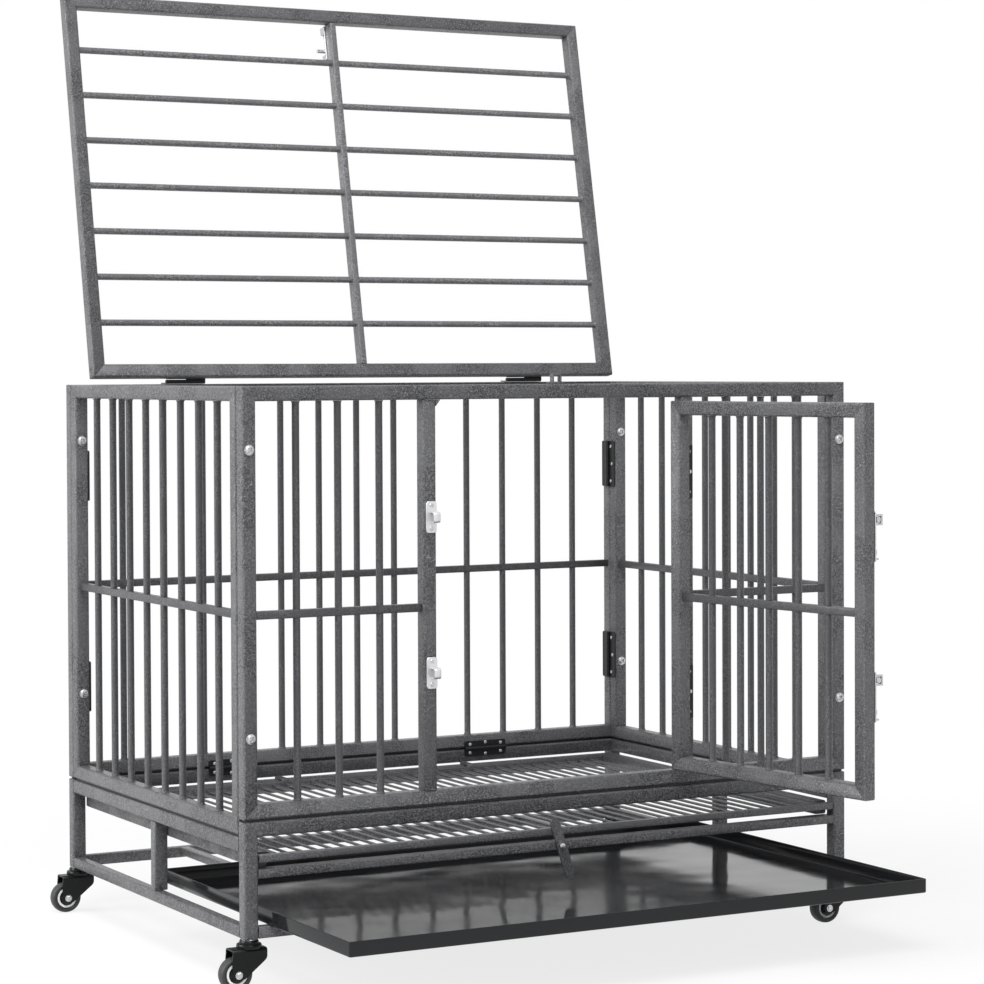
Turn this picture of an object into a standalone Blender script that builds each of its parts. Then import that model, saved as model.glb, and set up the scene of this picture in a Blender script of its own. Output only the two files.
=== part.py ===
import math

import bmesh
import bpy
from mathutils import Vector

# A dog crate on casters, shown open: lid up, door out, tray pulled forward.
# Metres, +Z up, the door side faces -Y. Every size below is written once.

# Cage
CAGE_LENGTH = 0.960
CAGE_DEPTH = 0.655
FRONT_PANEL_HEIGHT = 0.5687
TUBE = 0.020
BAR = 0.010
MID_RAIL = 0.011
MID_RAIL_RISE = 0.2675
BACK_BARS = 13
SIDE_BARS = 8
FRONT_BARS = 3
WELD_GAP = 0.0003
PANEL_GAP = 0.003
FOLD_GAP = 0.0003

# Door, its opening and its swing
POST_LEFT_EDGE = -0.1945
POST_RIGHT_EDGE = 0.1975
DOOR_BARS = 5
DOOR_HINGE_GAP = 0.003
DOOR_LATCH_GAP = 0.0035
DOOR_TOP_GAP = 0.005
DOOR_BOTTOM_GAP = 0.0022
DOOR_OPEN = math.radians(98.8)

# Lid
LID_LENGTH = 0.905
LID_DEPTH = 0.596
LID_BARS = 7
LID_BAR_PITCH = 0.0709
LID_SPINE = 0.010
LID_REAR_GAP = 0.0068
LID_OPEN = math.radians(101.3)

# Base
BASE_HEIGHT = 0.154
SIDE_DROP = 0.021
SLOT_RAIL = 0.012
SLOT_RAIL_RISE = 0.079
FOOT_RAIL = 0.016
FOOT_RAIL_WIDTH = 0.015
BASE_MID_POST = 0.016
BASE_MID_POST_SHIFT = -0.0075
LEDGE_RISE = 0.091
GUIDE_RISE = 0.004
GUIDE_HEIGHT = 0.012
GUIDE_SPAN = 0.596

# Floor grid
GRID_RAIL = 0.010
GRID_RISE = 0.100
GRID_WIRE = 0.004
GRID_WIRES = 38
GRID_SIDE_GAP = 0.0015
GRID_LUG = 0.012
GRID_LUG_AT = (-0.145, 0.181)

# Tray
TRAY_LENGTH = 0.890
TRAY_DEPTH = 0.608
TRAY_RIM = 0.020
TRAY_SHEET = 0.0012
TRAY_OUT = 0.256
TRAY_SEAT = 0.013

# Swing retainer
ARM_WIDTH = 0.015
ARM_THICK = 0.003
ARM_UP = 0.042
ARM_DOWN = 0.0495
ARM_TILT = math.radians(18)
ARM_AT = -0.002
ARM_RIVET = 0.009

# Hinges
KNUCKLE = 0.0065
LEAF_THICK = 0.0018
LEAF_WIDTH = 0.019
HINGE_LENGTH = 0.075
LID_HINGE_LENGTH = 0.064
LID_HINGE_AT = 0.296
DOOR_HINGE_RISE = (0.1305, 0.443)
CORNER_HINGE_RISE = (0.1165, 0.4325)
BASE_HINGE_AT = 0.223
BASE_LEAF = 0.012

# Door latches
LATCH_RISE = (0.179, 0.390)
LATCH_DROP = 0.044
LATCH_PLATE_WIDTH = 0.018
LATCH_PLATE = 0.002
LATCH_PLATE_OVER = 0.011
LATCH_TUNNEL = 0.0065
LATCH_BOLT = 0.008
LATCH_WALL = 0.0025
LATCH_SLIP = 0.0008
LATCH_INSET = 0.0005
LATCH_BOLT_LENGTH = 0.021
LATCH_ARM = 0.005
LATCH_KNOB = 0.011
LATCH_KNOB_REACH = 0.010
KEEPER_WIDTH = 0.016
KEEPER_HEIGHT = 0.043
KEEPER_POCKET = 0.010

# Lid latch
LID_LATCH_LENGTH = 0.054
LID_BOLT_LENGTH = 0.062
LID_KNOB_REACH = 0.012
LID_LOOP = 0.008

# Corner bolts
BOLT_HEAD = 0.012
BOLT_HEAD_HEIGHT = 0.0045
BOLT_RISE = (0.1065, 0.485)

# Casters
CASTER_HEIGHT = 0.067
WHEEL = 0.045
WHEEL_WIDTH = 0.017
HUB_WIDTH = 0.019
HUB = 0.016
AXLE = 0.007
AXLE_SLIP = 0.0004
CASTER_TRAIL = 0.020
FORK_SHEET = 0.0025
FORK_INSIDE = 0.0205
FORK_BEHIND = 0.028
FORK_AHEAD = 0.021
FORK_CROWN = 0.056
DISC = 0.034
DISC_HEIGHT = 0.0055
COLLAR = 0.026
AXLE_HEAD = 0.011
AXLE_HEAD_HEIGHT = 0.0035

ROUND = 12
SMOOTH = 24

# Heights and faces that follow from the sizes
BASE_BOTTOM = CASTER_HEIGHT
BASE_TOP = BASE_BOTTOM + BASE_HEIGHT
SIDE_TOP = BASE_TOP - SIDE_DROP
PANEL_BOTTOM = BASE_TOP + PANEL_GAP
SIDE_BOTTOM = SIDE_TOP + PANEL_GAP
TOP = PANEL_BOTTOM + FRONT_PANEL_HEIGHT
HALF_X = CAGE_LENGTH / 2
HALF_Y = CAGE_DEPTH / 2
IN_X = HALF_X - TUBE
IN_Y = HALF_Y - TUBE
FRONT = -HALF_Y
MID_Z = PANEL_BOTTOM + MID_RAIL_RISE


def clear_scene():
    for old in list(bpy.data.objects):
        bpy.data.objects.remove(old)


def material(name, colour, metallic, roughness):
    made = bpy.data.materials.new(name)
    made.use_nodes = True
    shader = made.node_tree.nodes["Principled BSDF"]
    shader.inputs["Base Color"].default_value = (*colour, 1)
    shader.inputs["Metallic"].default_value = metallic
    shader.inputs["Roughness"].default_value = roughness
    return made


def empty(name, place, parent):
    made = bpy.data.objects.new(name, None)
    made.empty_display_size = 0.02
    bpy.context.scene.collection.objects.link(made)
    made.parent = parent
    made.location = place
    return made


def body(name, mesh_data, look, parent):
    mesh = bpy.data.meshes.new(name)
    mesh_data.to_mesh(mesh)
    mesh_data.free()
    mesh.materials.append(look)
    made = bpy.data.objects.new(name, mesh)
    bpy.context.scene.collection.objects.link(made)
    made.parent = parent
    return made


def boxes(parts):
    """One closed mesh: the union of boxes given as (x0, x1, y0, y1, z0, z1)."""
    cuts = [sorted({round(p[2 * a + s], 7) for p in parts for s in (0, 1)}) for a in range(3)]
    full = set()
    for p in parts:
        spans = []
        for a in range(3):
            low, high = round(p[2 * a], 7), round(p[2 * a + 1], 7)
            spans.append(range(cuts[a].index(low), cuts[a].index(high)))
        full |= {(i, j, k) for i in spans[0] for j in spans[1] for k in spans[2]}
    data = bmesh.new()
    points = {}

    def point(key):
        if key not in points:
            points[key] = data.verts.new([cuts[a][key[a]] for a in range(3)])
        return points[key]

    for cell in full:
        for axis in range(3):
            for step in (0, 1):
                beside = list(cell)
                beside[axis] += 2 * step - 1
                if tuple(beside) in full:
                    continue
                u, v = (axis + 1) % 3, (axis + 2) % 3
                ring = []
                for du, dv in ((0, 0), (1, 0), (1, 1), (0, 1)):
                    key = list(cell)
                    key[axis] += step
                    key[u] += du
                    key[v] += dv
                    ring.append(point(tuple(key)))
                data.faces.new(ring if step else ring[::-1])
    bmesh.ops.dissolve_limit(data, angle_limit=0.01, verts=data.verts, edges=data.edges)
    return data


def tube_about(data, start, end, radius, sides):
    """Adds a closed cylinder from start to end."""
    start, end = Vector(start), Vector(end)
    along = (end - start).normalized()
    side = along.orthogonal().normalized()
    up = along.cross(side)
    rings = []
    for centre in (start, end):
        ring = []
        for n in range(sides):
            turn = 2 * math.pi * (n + 0.5) / sides
            offset = side * math.cos(turn) + up * math.sin(turn)
            ring.append(data.verts.new(centre + offset * radius))
        rings.append(ring)
    for n in range(sides):
        m = (n + 1) % sides
        data.faces.new((rings[0][n], rings[0][m], rings[1][m], rings[1][n]))
    data.faces.new(rings[0][::-1])
    data.faces.new(rings[1])


def rods(spans, radius, sides=ROUND):
    data = bmesh.new()
    for start, end in spans:
        tube_about(data, start, end, radius, sides)
    return data


def prism(outline, low, high, plane="XZ"):
    """A closed plate: the outline (counter-clockwise seen from +Z or from -Y) pushed through."""
    data = bmesh.new()
    rings = []
    for depth in (low, high):
        if plane == "XZ":
            rings.append([data.verts.new((x, depth, z)) for x, z in outline])
        else:
            rings.append([data.verts.new((x, y, depth)) for x, y in outline])
    if plane != "XZ":
        rings.reverse()
    count = len(outline)
    for n in range(count):
        m = (n + 1) % count
        data.faces.new((rings[0][n], rings[0][m], rings[1][m], rings[1][n]))
    data.faces.new(rings[0][::-1])
    data.faces.new(rings[1])
    bmesh.ops.recalc_face_normals(data, faces=data.faces)
    return data


def lathe(profile, sides=SMOOTH):
    """A closed ring turned about the Y axis from a loop of (radius, y)."""
    data = bmesh.new()
    rings = []
    for n in range(sides):
        turn = 2 * math.pi * n / sides
        at = [(r * math.cos(turn), y, r * math.sin(turn)) for r, y in profile]
        rings.append([data.verts.new(p) for p in at])
    count = len(profile)
    for n in range(sides):
        a, b = rings[n], rings[(n + 1) % sides]
        for i in range(count):
            j = (i + 1) % count
            data.faces.new((a[i], a[j], b[j], b[i]))
    bmesh.ops.recalc_face_normals(data, faces=data.faces)
    return data


def combine(target, data, operation="UNION"):
    """Joins a second mesh to an object, or cuts it away, and keeps the result."""
    mesh = bpy.data.meshes.new("tool")
    data.to_mesh(mesh)
    data.free()
    tool = bpy.data.objects.new("tool", mesh)
    bpy.context.scene.collection.objects.link(tool)
    tool.parent = target.parent
    change = target.modifiers.new("join", "BOOLEAN")
    change.operation = operation
    change.solver = "EXACT"
    change.object = tool
    bpy.context.view_layer.update()
    graph = bpy.context.evaluated_depsgraph_get()
    made = bpy.data.meshes.new_from_object(target.evaluated_get(graph))
    old = target.data
    target.modifiers.clear()
    target.data = made
    bpy.data.meshes.remove(old)
    bpy.data.objects.remove(tool)
    made.name = target.name
    return target


def spread(low, high, count):
    """The centres of bars that share the space between two edges evenly."""
    step = (high - low) / (count + 1)
    return [low + step * (n + 1) for n in range(count)]


def ring_boxes(x0, x1, z0, z1, y0, y1):
    """The four tubes of an upright frame in the XZ plane."""
    return [
        (x0, x0 + TUBE, y0, y1, z0, z1),
        (x1 - TUBE, x1, y0, y1, z0, z1),
        (x0, x1, y0, y1, z0, z0 + TUBE),
        (x0, x1, y0, y1, z1 - TUBE, z1),
    ]


def grille(name, across, low, high, places, centre, z_mid, look, parent, along="X"):
    """Upright round bars and the level rail that ties them, as one welded piece."""
    half = MID_RAIL / 2
    a0, a1 = across
    if along == "X":
        rail = (a0, a1, centre - half, centre + half, z_mid - half, z_mid + half)
        spans = [((p, centre, low), (p, centre, high)) for p in places]
    else:
        rail = (centre - half, centre + half, a0, a1, z_mid - half, z_mid + half)
        spans = [((centre, p, low), (centre, p, high)) for p in places]
    made = body(name, boxes([rail]), look, parent)
    return combine(made, rods(spans, BAR / 2))


def bolt_heads(target, places, y):
    """Round bolt heads that stand out from a face towards -Y."""
    spans = [((x, y - BOLT_HEAD_HEIGHT, z), (x, y + BOLT_HEAD_HEIGHT, z)) for x, z in places]
    return combine(target, rods(spans, BOLT_HEAD / 2))


def back_panel(root, steel):
    y0, y1 = IN_Y + FOLD_GAP, HALF_Y
    frame = boxes(ring_boxes(-HALF_X, HALF_X, SIDE_BOTTOM, TOP, y0, y1))
    body("back_frame", frame, steel, root)
    across = (-IN_X + WELD_GAP, IN_X - WELD_GAP)
    low, high = SIDE_BOTTOM + TUBE + WELD_GAP, TOP - TUBE - WELD_GAP
    places = spread(-IN_X, IN_X, BACK_BARS)
    grille("back_grille", across, low, high, places, (y0 + y1) / 2, MID_Z, steel, root)


def side_panel(name, side, root, steel):
    x0, x1 = sorted((side * IN_X, side * HALF_X))
    y0, y1 = -IN_Y + FOLD_GAP, IN_Y - FOLD_GAP
    frame = boxes([
        (x0, x1, y0, y0 + TUBE, SIDE_BOTTOM, TOP),
        (x0, x1, y1 - TUBE, y1, SIDE_BOTTOM, TOP),
        (x0, x1, y0, y1, SIDE_BOTTOM, SIDE_BOTTOM + TUBE),
        (x0, x1, y0, y1, TOP - TUBE, TOP),
    ])
    made = body(name + "_frame", frame, steel, root)
    places = [((x0 + x1) / 2, PANEL_BOTTOM + rise) for rise in BOLT_RISE]
    bolt_heads(made, places, y1 - TUBE)
    across = (y0 + TUBE + WELD_GAP, y1 - TUBE - WELD_GAP)
    low, high = SIDE_BOTTOM + TUBE + WELD_GAP, TOP - TUBE - WELD_GAP
    bars = spread(across[0], across[1], SIDE_BARS)
    centre = (x0 + x1) / 2
    grille(name + "_grille", across, low, high, bars, centre, MID_Z, steel, root, "Y")


def front_panel(root, steel):
    y0, y1 = -HALF_Y, -IN_Y
    parts = ring_boxes(-HALF_X, HALF_X, PANEL_BOTTOM, TOP, y0, y1)
    parts.append((POST_LEFT_EDGE - TUBE, POST_LEFT_EDGE, y0, y1, PANEL_BOTTOM, TOP))
    parts.append((POST_RIGHT_EDGE, POST_RIGHT_EDGE + TUBE, y0, y1, PANEL_BOTTOM, TOP))
    frame = body("front_frame", boxes(parts), steel, root)
    heads = [(s * (HALF_X - TUBE / 2), PANEL_BOTTOM + r) for s in (-1, 1) for r in BOLT_RISE]
    bolt_heads(frame, heads, y0)
    low, high = PANEL_BOTTOM + TUBE + WELD_GAP, TOP - TUBE - WELD_GAP
    spans = {
        "front_grille_left": (-IN_X + WELD_GAP, POST_LEFT_EDGE - TUBE - WELD_GAP),
        "front_grille_right": (POST_RIGHT_EDGE + TUBE + WELD_GAP, IN_X - WELD_GAP),
    }
    for name, across in spans.items():
        bars = spread(across[0], across[1], FRONT_BARS)
        grille(name, across, low, high, bars, (y0 + y1) / 2, MID_Z, steel, root)


def hinge_leaf(name, halves, length, width, look, parent):
    """A leaf and its knuckles about the local Z axis. The leaf runs towards +X, its
    fixing face at y = KNUCKLE / 2, and halves lists the spans of knuckle it carries."""
    y1 = KNUCKLE / 2
    leaf = [(KNUCKLE * 0.2, width, y1 - LEAF_THICK, y1, -length / 2, length / 2)]
    made = body(name, boxes(leaf), look, parent)
    gap = WELD_GAP / 2
    for low, high in halves:
        span = [((0, 0, low + gap), (0, 0, high - gap))]
        combine(made, rods(span, KNUCKLE / 2 - 0.00005))
    return made


def clear_knuckles(made, spans):
    """Cuts a leaf back where the other leaf's knuckles turn."""
    reach = KNUCKLE / 2 + WELD_GAP
    for low, high in spans:
        cut = (-reach, reach, -reach, reach * 1.2, low - WELD_GAP, high + WELD_GAP)
        combine(made, boxes([cut]), "DIFFERENCE")


def door(root, steel, black, zinc):
    axis_x = POST_RIGHT_EDGE - DOOR_HINGE_GAP / 2
    axis_y = FRONT - WELD_GAP - KNUCKLE / 2
    pivot = empty("door_axis", (axis_x, axis_y, 0), root)
    x1 = POST_RIGHT_EDGE - DOOR_HINGE_GAP - axis_x
    x0 = POST_LEFT_EDGE + DOOR_LATCH_GAP - axis_x
    y0 = FRONT - axis_y
    y1 = y0 + TUBE
    z0 = PANEL_BOTTOM + TUBE + DOOR_BOTTOM_GAP
    z1 = TOP - TUBE - DOOR_TOP_GAP
    body("door_frame", boxes(ring_boxes(x0, x1, z0, z1, y0, y1)), steel, pivot)
    across = (x0 + TUBE + WELD_GAP, x1 - TUBE - WELD_GAP)
    low, high = z0 + TUBE + WELD_GAP, z1 - TUBE - WELD_GAP
    bars = spread(across[0], across[1], DOOR_BARS)
    centre = (y0 + y1) / 2
    grille("door_grille", across, low, high, bars, centre, MID_Z, steel, pivot)
    half = HINGE_LENGTH / 2
    for word, rise in zip(("lower", "upper"), DOOR_HINGE_RISE):
        z = PANEL_BOTTOM + rise
        outer = ((-half, -half / 3), (half / 3, half))
        inner = ((-half / 3, half / 3),)
        fixed = hinge_leaf(f"door_hinge_{word}_post", outer, HINGE_LENGTH, LEAF_WIDTH, black, root)
        clear_knuckles(fixed, inner)
        fixed.location = (axis_x, axis_y, z)
        moving = hinge_leaf(f"door_hinge_{word}_door", inner, HINGE_LENGTH, LEAF_WIDTH, black, pivot)
        clear_knuckles(moving, outer)
        moving.scale = (-1, 1, 1)
        moving.location = (0, 0, z)
        door_latch(word, x0, y0, pivot, root, zinc)
    pivot.rotation_euler = (0, 0, DOOR_OPEN)
    return pivot


def door_latch(word, x0, y0, pivot, root, zinc):
    """Housing on the door, sliding bolt with its pull knob, and the keeper on the post."""
    z = PANEL_BOTTOM + dict(lower=LATCH_RISE[0], upper=LATCH_RISE[1])[word]
    back = y0 - WELD_GAP
    bore = LATCH_BOLT / 2 + LATCH_SLIP
    axis = back - LATCH_PLATE - bore
    left = x0 + LATCH_INSET
    mouth = left + LATCH_TUNNEL
    right = left + LATCH_PLATE_WIDTH
    over = LATCH_PLATE_OVER
    outer = axis - bore - LATCH_WALL
    low_lip = z - LATCH_DROP - LATCH_KNOB / 2 - LATCH_SLIP
    housing = [
        (left, right, back - LATCH_PLATE, back, z - LATCH_DROP - over, z + over),
        (left, mouth, outer, back, z + bore, z + bore + LATCH_WALL),
        (left, mouth, outer, back, z - bore - LATCH_WALL, z - bore),
        (left, mouth, outer, outer + LATCH_WALL, z - bore - LATCH_WALL, z + bore + LATCH_WALL),
        (left, right, axis, back, low_lip - LATCH_WALL, low_lip),
    ]
    body(f"latch_{word}_housing", boxes(housing), zinc, pivot)
    slide = empty(f"latch_{word}_axis", (left, axis, z), pivot)
    end = LATCH_BOLT_LENGTH
    radius = LATCH_BOLT / 2
    bolt = body(f"latch_{word}_bolt", rods([((0, 0, 0), (end, 0, 0))], radius), zinc, slide)
    foot = -LATCH_DROP - LATCH_KNOB / 2
    tab = (end - LATCH_ARM, end - 0.0005, -radius * 0.6, radius * 0.3, foot, radius * 0.5)
    combine(bolt, boxes([tab]))
    middle = end - LATCH_ARM / 2
    knob = [((middle, radius * 0.2, -LATCH_DROP), (middle, -LATCH_KNOB_REACH, -LATCH_DROP))]
    combine(bolt, rods(knob, LATCH_KNOB / 2))
    keeper_back = FRONT - WELD_GAP
    pocket = y0 - axis
    k0 = POST_LEFT_EDGE - 0.0005 - KEEPER_WIDTH
    k1 = k0 + KEEPER_WIDTH
    high = KEEPER_HEIGHT / 2
    face = keeper_back - LATCH_PLATE
    front = FRONT - pocket - bore - LATCH_WALL
    keeper = [
        (k0, k1, face, keeper_back, z - high, z + high),
        (k1 - KEEPER_POCKET, k1, front, face, z + bore, z + bore + LATCH_WALL),
        (k1 - KEEPER_POCKET, k1, front, face, z - bore - LATCH_WALL, z - bore),
        (k1 - KEEPER_POCKET, k1, front, front + LATCH_WALL, z - bore - LATCH_WALL,
         z + bore + LATCH_WALL),
    ]
    made = body(f"latch_{word}_keeper", boxes(keeper), zinc, root)
    heads = [
        (((k0 + k1) / 2, face - 0.001, z + s * (high - 0.006)),
         ((k0 + k1) / 2, face + 0.001, z + s * (high - 0.006)))
        for s in (-1, 1)
    ]
    combine(made, rods(heads, 0.003))


def lid(root, steel, black, zinc):
    axis_y = IN_Y - LID_REAR_GAP / 2
    axis_z = TOP + WELD_GAP + KNUCKLE / 2
    pivot = empty("lid_axis", (0, axis_y, axis_z), root)
    y1 = -LID_REAR_GAP / 2
    y0 = y1 - LID_DEPTH
    z1 = TOP - axis_z
    z0 = z1 - TUBE
    half = LID_LENGTH / 2
    frame = boxes([
        (-half, -half + TUBE, y0, y1, z0, z1),
        (half - TUBE, half, y0, y1, z0, z1),
        (-half, half, y0, y0 + TUBE, z0, z1),
        (-half, half, y1 - TUBE, y1, z0, z1),
    ])
    body("lid_frame", frame, steel, pivot)
    spine = LID_SPINE / 2
    inset = TUBE + WELD_GAP
    made = boxes([(-spine, spine, y0 + inset, y1 - inset, z0 + 0.001, z1)])
    bars = body("lid_bars", made, steel, pivot)
    middle = (y0 + y1) / 2
    level = (z0 + z1) / 2
    spans = []
    for n in range(LID_BARS):
        y = middle + (n - (LID_BARS - 1) / 2) * LID_BAR_PITCH
        spans.append(((-half + inset, y, level), (half - inset, y, level)))
    combine(bars, rods(spans, BAR / 2))
    for word, at in (("left", -LID_HINGE_AT), ("right", LID_HINGE_AT)):
        lid_hinge(word, at, axis_y, axis_z, pivot, root, black)
    lid_latch(y0, z1, axis_y, axis_z, pivot, root, zinc)
    pivot.rotation_euler = (-LID_OPEN, 0, 0)
    return pivot


def lid_hinge(word, at, axis_y, axis_z, pivot, root, black):
    half = LID_HINGE_LENGTH / 2
    first, second = ((-half, 0),), ((0, half),)
    # The leaf's fixing face turns down onto the rail, and the knuckle lies along X.
    lower = (math.radians(90), 0, math.radians(90))
    fixed = hinge_leaf(f"lid_hinge_{word}_rail", first, LID_HINGE_LENGTH, LEAF_WIDTH, black, root)
    clear_knuckles(fixed, second)
    fixed.rotation_euler = lower
    fixed.scale = (1, -1, 1)
    fixed.location = (at, axis_y, axis_z)
    moving = hinge_leaf(f"lid_hinge_{word}_lid", second, LID_HINGE_LENGTH, LEAF_WIDTH, black, pivot)
    clear_knuckles(moving, first)
    moving.rotation_euler = lower
    moving.scale = (-1, -1, 1)
    moving.location = (at, 0, 0)


def lid_latch(y0, z1, axis_y, axis_z, pivot, root, zinc):
    """A slide bolt on top of the lid's spine, and its loop on the cage's front rail."""
    bore = LATCH_BOLT / 2 + LATCH_SLIP
    seat = z1 + WELD_GAP
    axis = seat + LATCH_PLATE + bore
    near = y0 + TUBE + 0.001
    far = near + LID_LATCH_LENGTH
    wall = bore + LATCH_WALL
    housing = [
        (-wall, wall, near, far, seat, seat + LATCH_PLATE),
        (bore, wall, near, far, seat, axis + wall),
        (-wall, -bore, near, far, seat, seat + LATCH_PLATE + 0.001),
        (-wall, -bore, near, near + 0.012, seat, axis + wall),
        (-wall, wall, near, near + 0.012, axis + bore, axis + wall),
        (-wall, -bore, far - 0.008, far, seat, axis + wall),
        (-wall, wall, far - 0.008, far, axis + bore, axis + wall),
    ]
    body("lid_latch_housing", boxes(housing), zinc, pivot)
    slide = empty("lid_latch_axis", (0, near, axis), pivot)
    radius = LATCH_BOLT / 2
    start = -(TUBE + 0.001) + 0.002
    bolt = rods([((0, start, 0), (0, start + LID_BOLT_LENGTH, 0))], radius)
    made = body("lid_latch_bolt", bolt, zinc, slide)
    at = LID_LATCH_LENGTH - 0.014
    knob = [((radius * 0.3, at, 0), (-LID_KNOB_REACH - wall, at, 0))]
    combine(made, rods(knob, 0.003))
    inner = -IN_Y
    top = TOP + WELD_GAP
    rod = TOP + (axis - z1)
    low = inner - LID_LOOP - 0.003
    loop = [
        (-wall - 0.006, wall + 0.006, low, inner - 0.003, top, top + LATCH_PLATE),
        (bore, wall, low, inner - 0.003, top, rod + wall),
        (-wall, -bore, low, inner - 0.003, top, rod + wall),
        (-wall, wall, low, inner - 0.003, rod + bore, rod + wall),
    ]
    body("lid_latch_loop", boxes(loop), zinc, root)


def corner_hinges(root, black):
    """Fold hinges inside the two rear corners, drawn closed with both leaves flat."""
    y = IN_Y
    r = KNUCKLE / 2
    for side_word, side in (("left", -1), ("right", 1)):
        for word, rise in zip(("lower", "upper"), CORNER_HINGE_RISE):
            z = PANEL_BOTTOM + rise
            half = HINGE_LENGTH / 2
            face = IN_X - WELD_GAP
            x0, x1 = sorted((side * face, side * (face - LEAF_THICK)))
            plate = boxes([(x0, x1, y - LEAF_WIDTH, y + LEAF_WIDTH, z - half, z + half)])
            made = body(f"corner_hinge_{side_word}_{word}", plate, black, root)
            x = side * (face - r)
            combine(made, rods([((x, y, z - half - 0.0005), (x, y, z + half + 0.0005))], r))


def base_hinges(root, black):
    """Fold hinges between the base and the back panel."""
    y = IN_Y - WELD_GAP
    r = KNUCKLE / 2
    z = SIDE_TOP + PANEL_GAP / 2
    half = HINGE_LENGTH / 2
    for word, at in (("left", -BASE_HINGE_AT), ("right", BASE_HINGE_AT)):
        plate = (at - half, at + half, y - LEAF_THICK, y, z - BASE_LEAF, z + BASE_LEAF)
        made = body(f"base_hinge_{word}", boxes([plate]), black, root)
        span = ((at - half - 0.0005, y - r, z), (at + half + 0.0005, y - r, z))
        combine(made, rods([span], r))


def base(root, steel):
    """The welded stand: front and back frames, two sides, the foot rails and the ledge."""
    g = WELD_GAP
    x0, x1 = IN_X, HALF_X
    slot = BASE_BOTTOM + SLOT_RAIL_RISE
    front = [
        (-x1, -x0, -HALF_Y, -IN_Y, BASE_BOTTOM, BASE_TOP),
        (x0, x1, -HALF_Y, -IN_Y, BASE_BOTTOM, BASE_TOP),
        (-x1, x1, -HALF_Y, -IN_Y, BASE_TOP - TUBE, BASE_TOP),
        (-x1, x1, -HALF_Y, -IN_Y, slot, slot + SLOT_RAIL),
    ]
    body("base_front", boxes(front), steel, root)
    back = [
        (-x1, -x0, IN_Y, HALF_Y, BASE_BOTTOM, SIDE_TOP),
        (x0, x1, IN_Y, HALF_Y, BASE_BOTTOM, SIDE_TOP),
        (-x1, x1, IN_Y, HALF_Y, SIDE_TOP - TUBE, SIDE_TOP),
    ]
    body("base_back", boxes(back), steel, root)
    foot_top = BASE_BOTTOM + FOOT_RAIL
    for word, side in (("left", -1), ("right", 1)):
        a, b = sorted((side * x0, side * x1))
        f0, f1 = sorted((side * x1, side * (x1 - FOOT_RAIL_WIDTH)))
        y = BASE_MID_POST_SHIFT
        post = BASE_MID_POST / 2
        parts = [
            (a, b, -IN_Y + g, IN_Y - g, SIDE_TOP - TUBE, SIDE_TOP),
            (f0, f1, -IN_Y + g, IN_Y - g, BASE_BOTTOM, foot_top),
            (a, b, y - post, y + post, foot_top, SIDE_TOP - TUBE),
            (f0, f1, y - post, y + post, BASE_BOTTOM, SIDE_TOP - TUBE),
        ]
        body(f"base_{word}", boxes(parts), steel, root)
    guide0 = BASE_BOTTOM + GUIDE_RISE
    feet = [
        (-x0 + g, x0 - g, -HALF_Y, -HALF_Y + FOOT_RAIL_WIDTH, BASE_BOTTOM, foot_top),
        (-x0 + g, x0 - g, HALF_Y - FOOT_RAIL_WIDTH, HALF_Y, BASE_BOTTOM, foot_top),
    ]
    for side in (-1, 1):
        mid = side * GUIDE_SPAN / 2
        wide = FOOT_RAIL_WIDTH / 2
        feet.append((mid - wide, mid + wide, -HALF_Y, HALF_Y, guide0, guide0 + GUIDE_HEIGHT))
    body("base_feet", boxes(feet), steel, root)
    z0 = BASE_BOTTOM + LEDGE_RISE
    inner = x0 - g
    ledge = [
        (-inner, -inner + TUBE, -IN_Y + g, IN_Y - g, z0, z0 + TUBE),
        (inner - TUBE, inner, -IN_Y + g, IN_Y - g, z0, z0 + TUBE),
        (-inner, inner, IN_Y - g - TUBE, IN_Y - g, z0, z0 + TUBE),
    ]
    body("ledge", boxes(ledge), steel, root)


def floor_grid(root, steel):
    """Front and rear rails with the wires between them, resting on the ledge by its lugs."""
    z0 = BASE_BOTTOM + GRID_RISE
    z1 = z0 + GRID_RAIL
    half = IN_X - GRID_SIDE_GAP
    y0 = -HALF_Y + 0.0002
    rear = IN_Y - WELD_GAP - TUBE - WELD_GAP
    ledge_top = BASE_BOTTOM + LEDGE_RISE + TUBE + WELD_GAP
    inner = IN_X - WELD_GAP - TUBE - GRID_SIDE_GAP
    rails = [
        (-half, half, y0, y0 + GRID_RAIL, z0, z1),
        (-inner, inner, rear - GRID_RAIL, rear, z0, z1),
    ]
    grid = [
        (-inner, -inner + GRID_RAIL, y0, rear, z0, z1),
        (inner - GRID_RAIL, inner, y0, rear, z0, z1),
    ]
    for x in GRID_LUG_AT:
        w = GRID_LUG / 2
        grid.append((x - w, x + w, rear - GRID_RAIL, rear, z0, ledge_top + 0.003))
        grid.append((x - w, x + w, rear - GRID_RAIL, rear + TUBE * 0.8, ledge_top,
                     ledge_top + 0.003))
    made = body("floor_grid", boxes(rails + grid), steel, root)
    level = (z0 + z1) / 2
    places = spread(-inner + GRID_RAIL, inner - GRID_RAIL, GRID_WIRES)
    spans = [((x, y0 + 0.005, level), (x, rear - 0.005, level)) for x in places]
    combine(made, rods(spans, GRID_WIRE / 2, 6))


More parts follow.
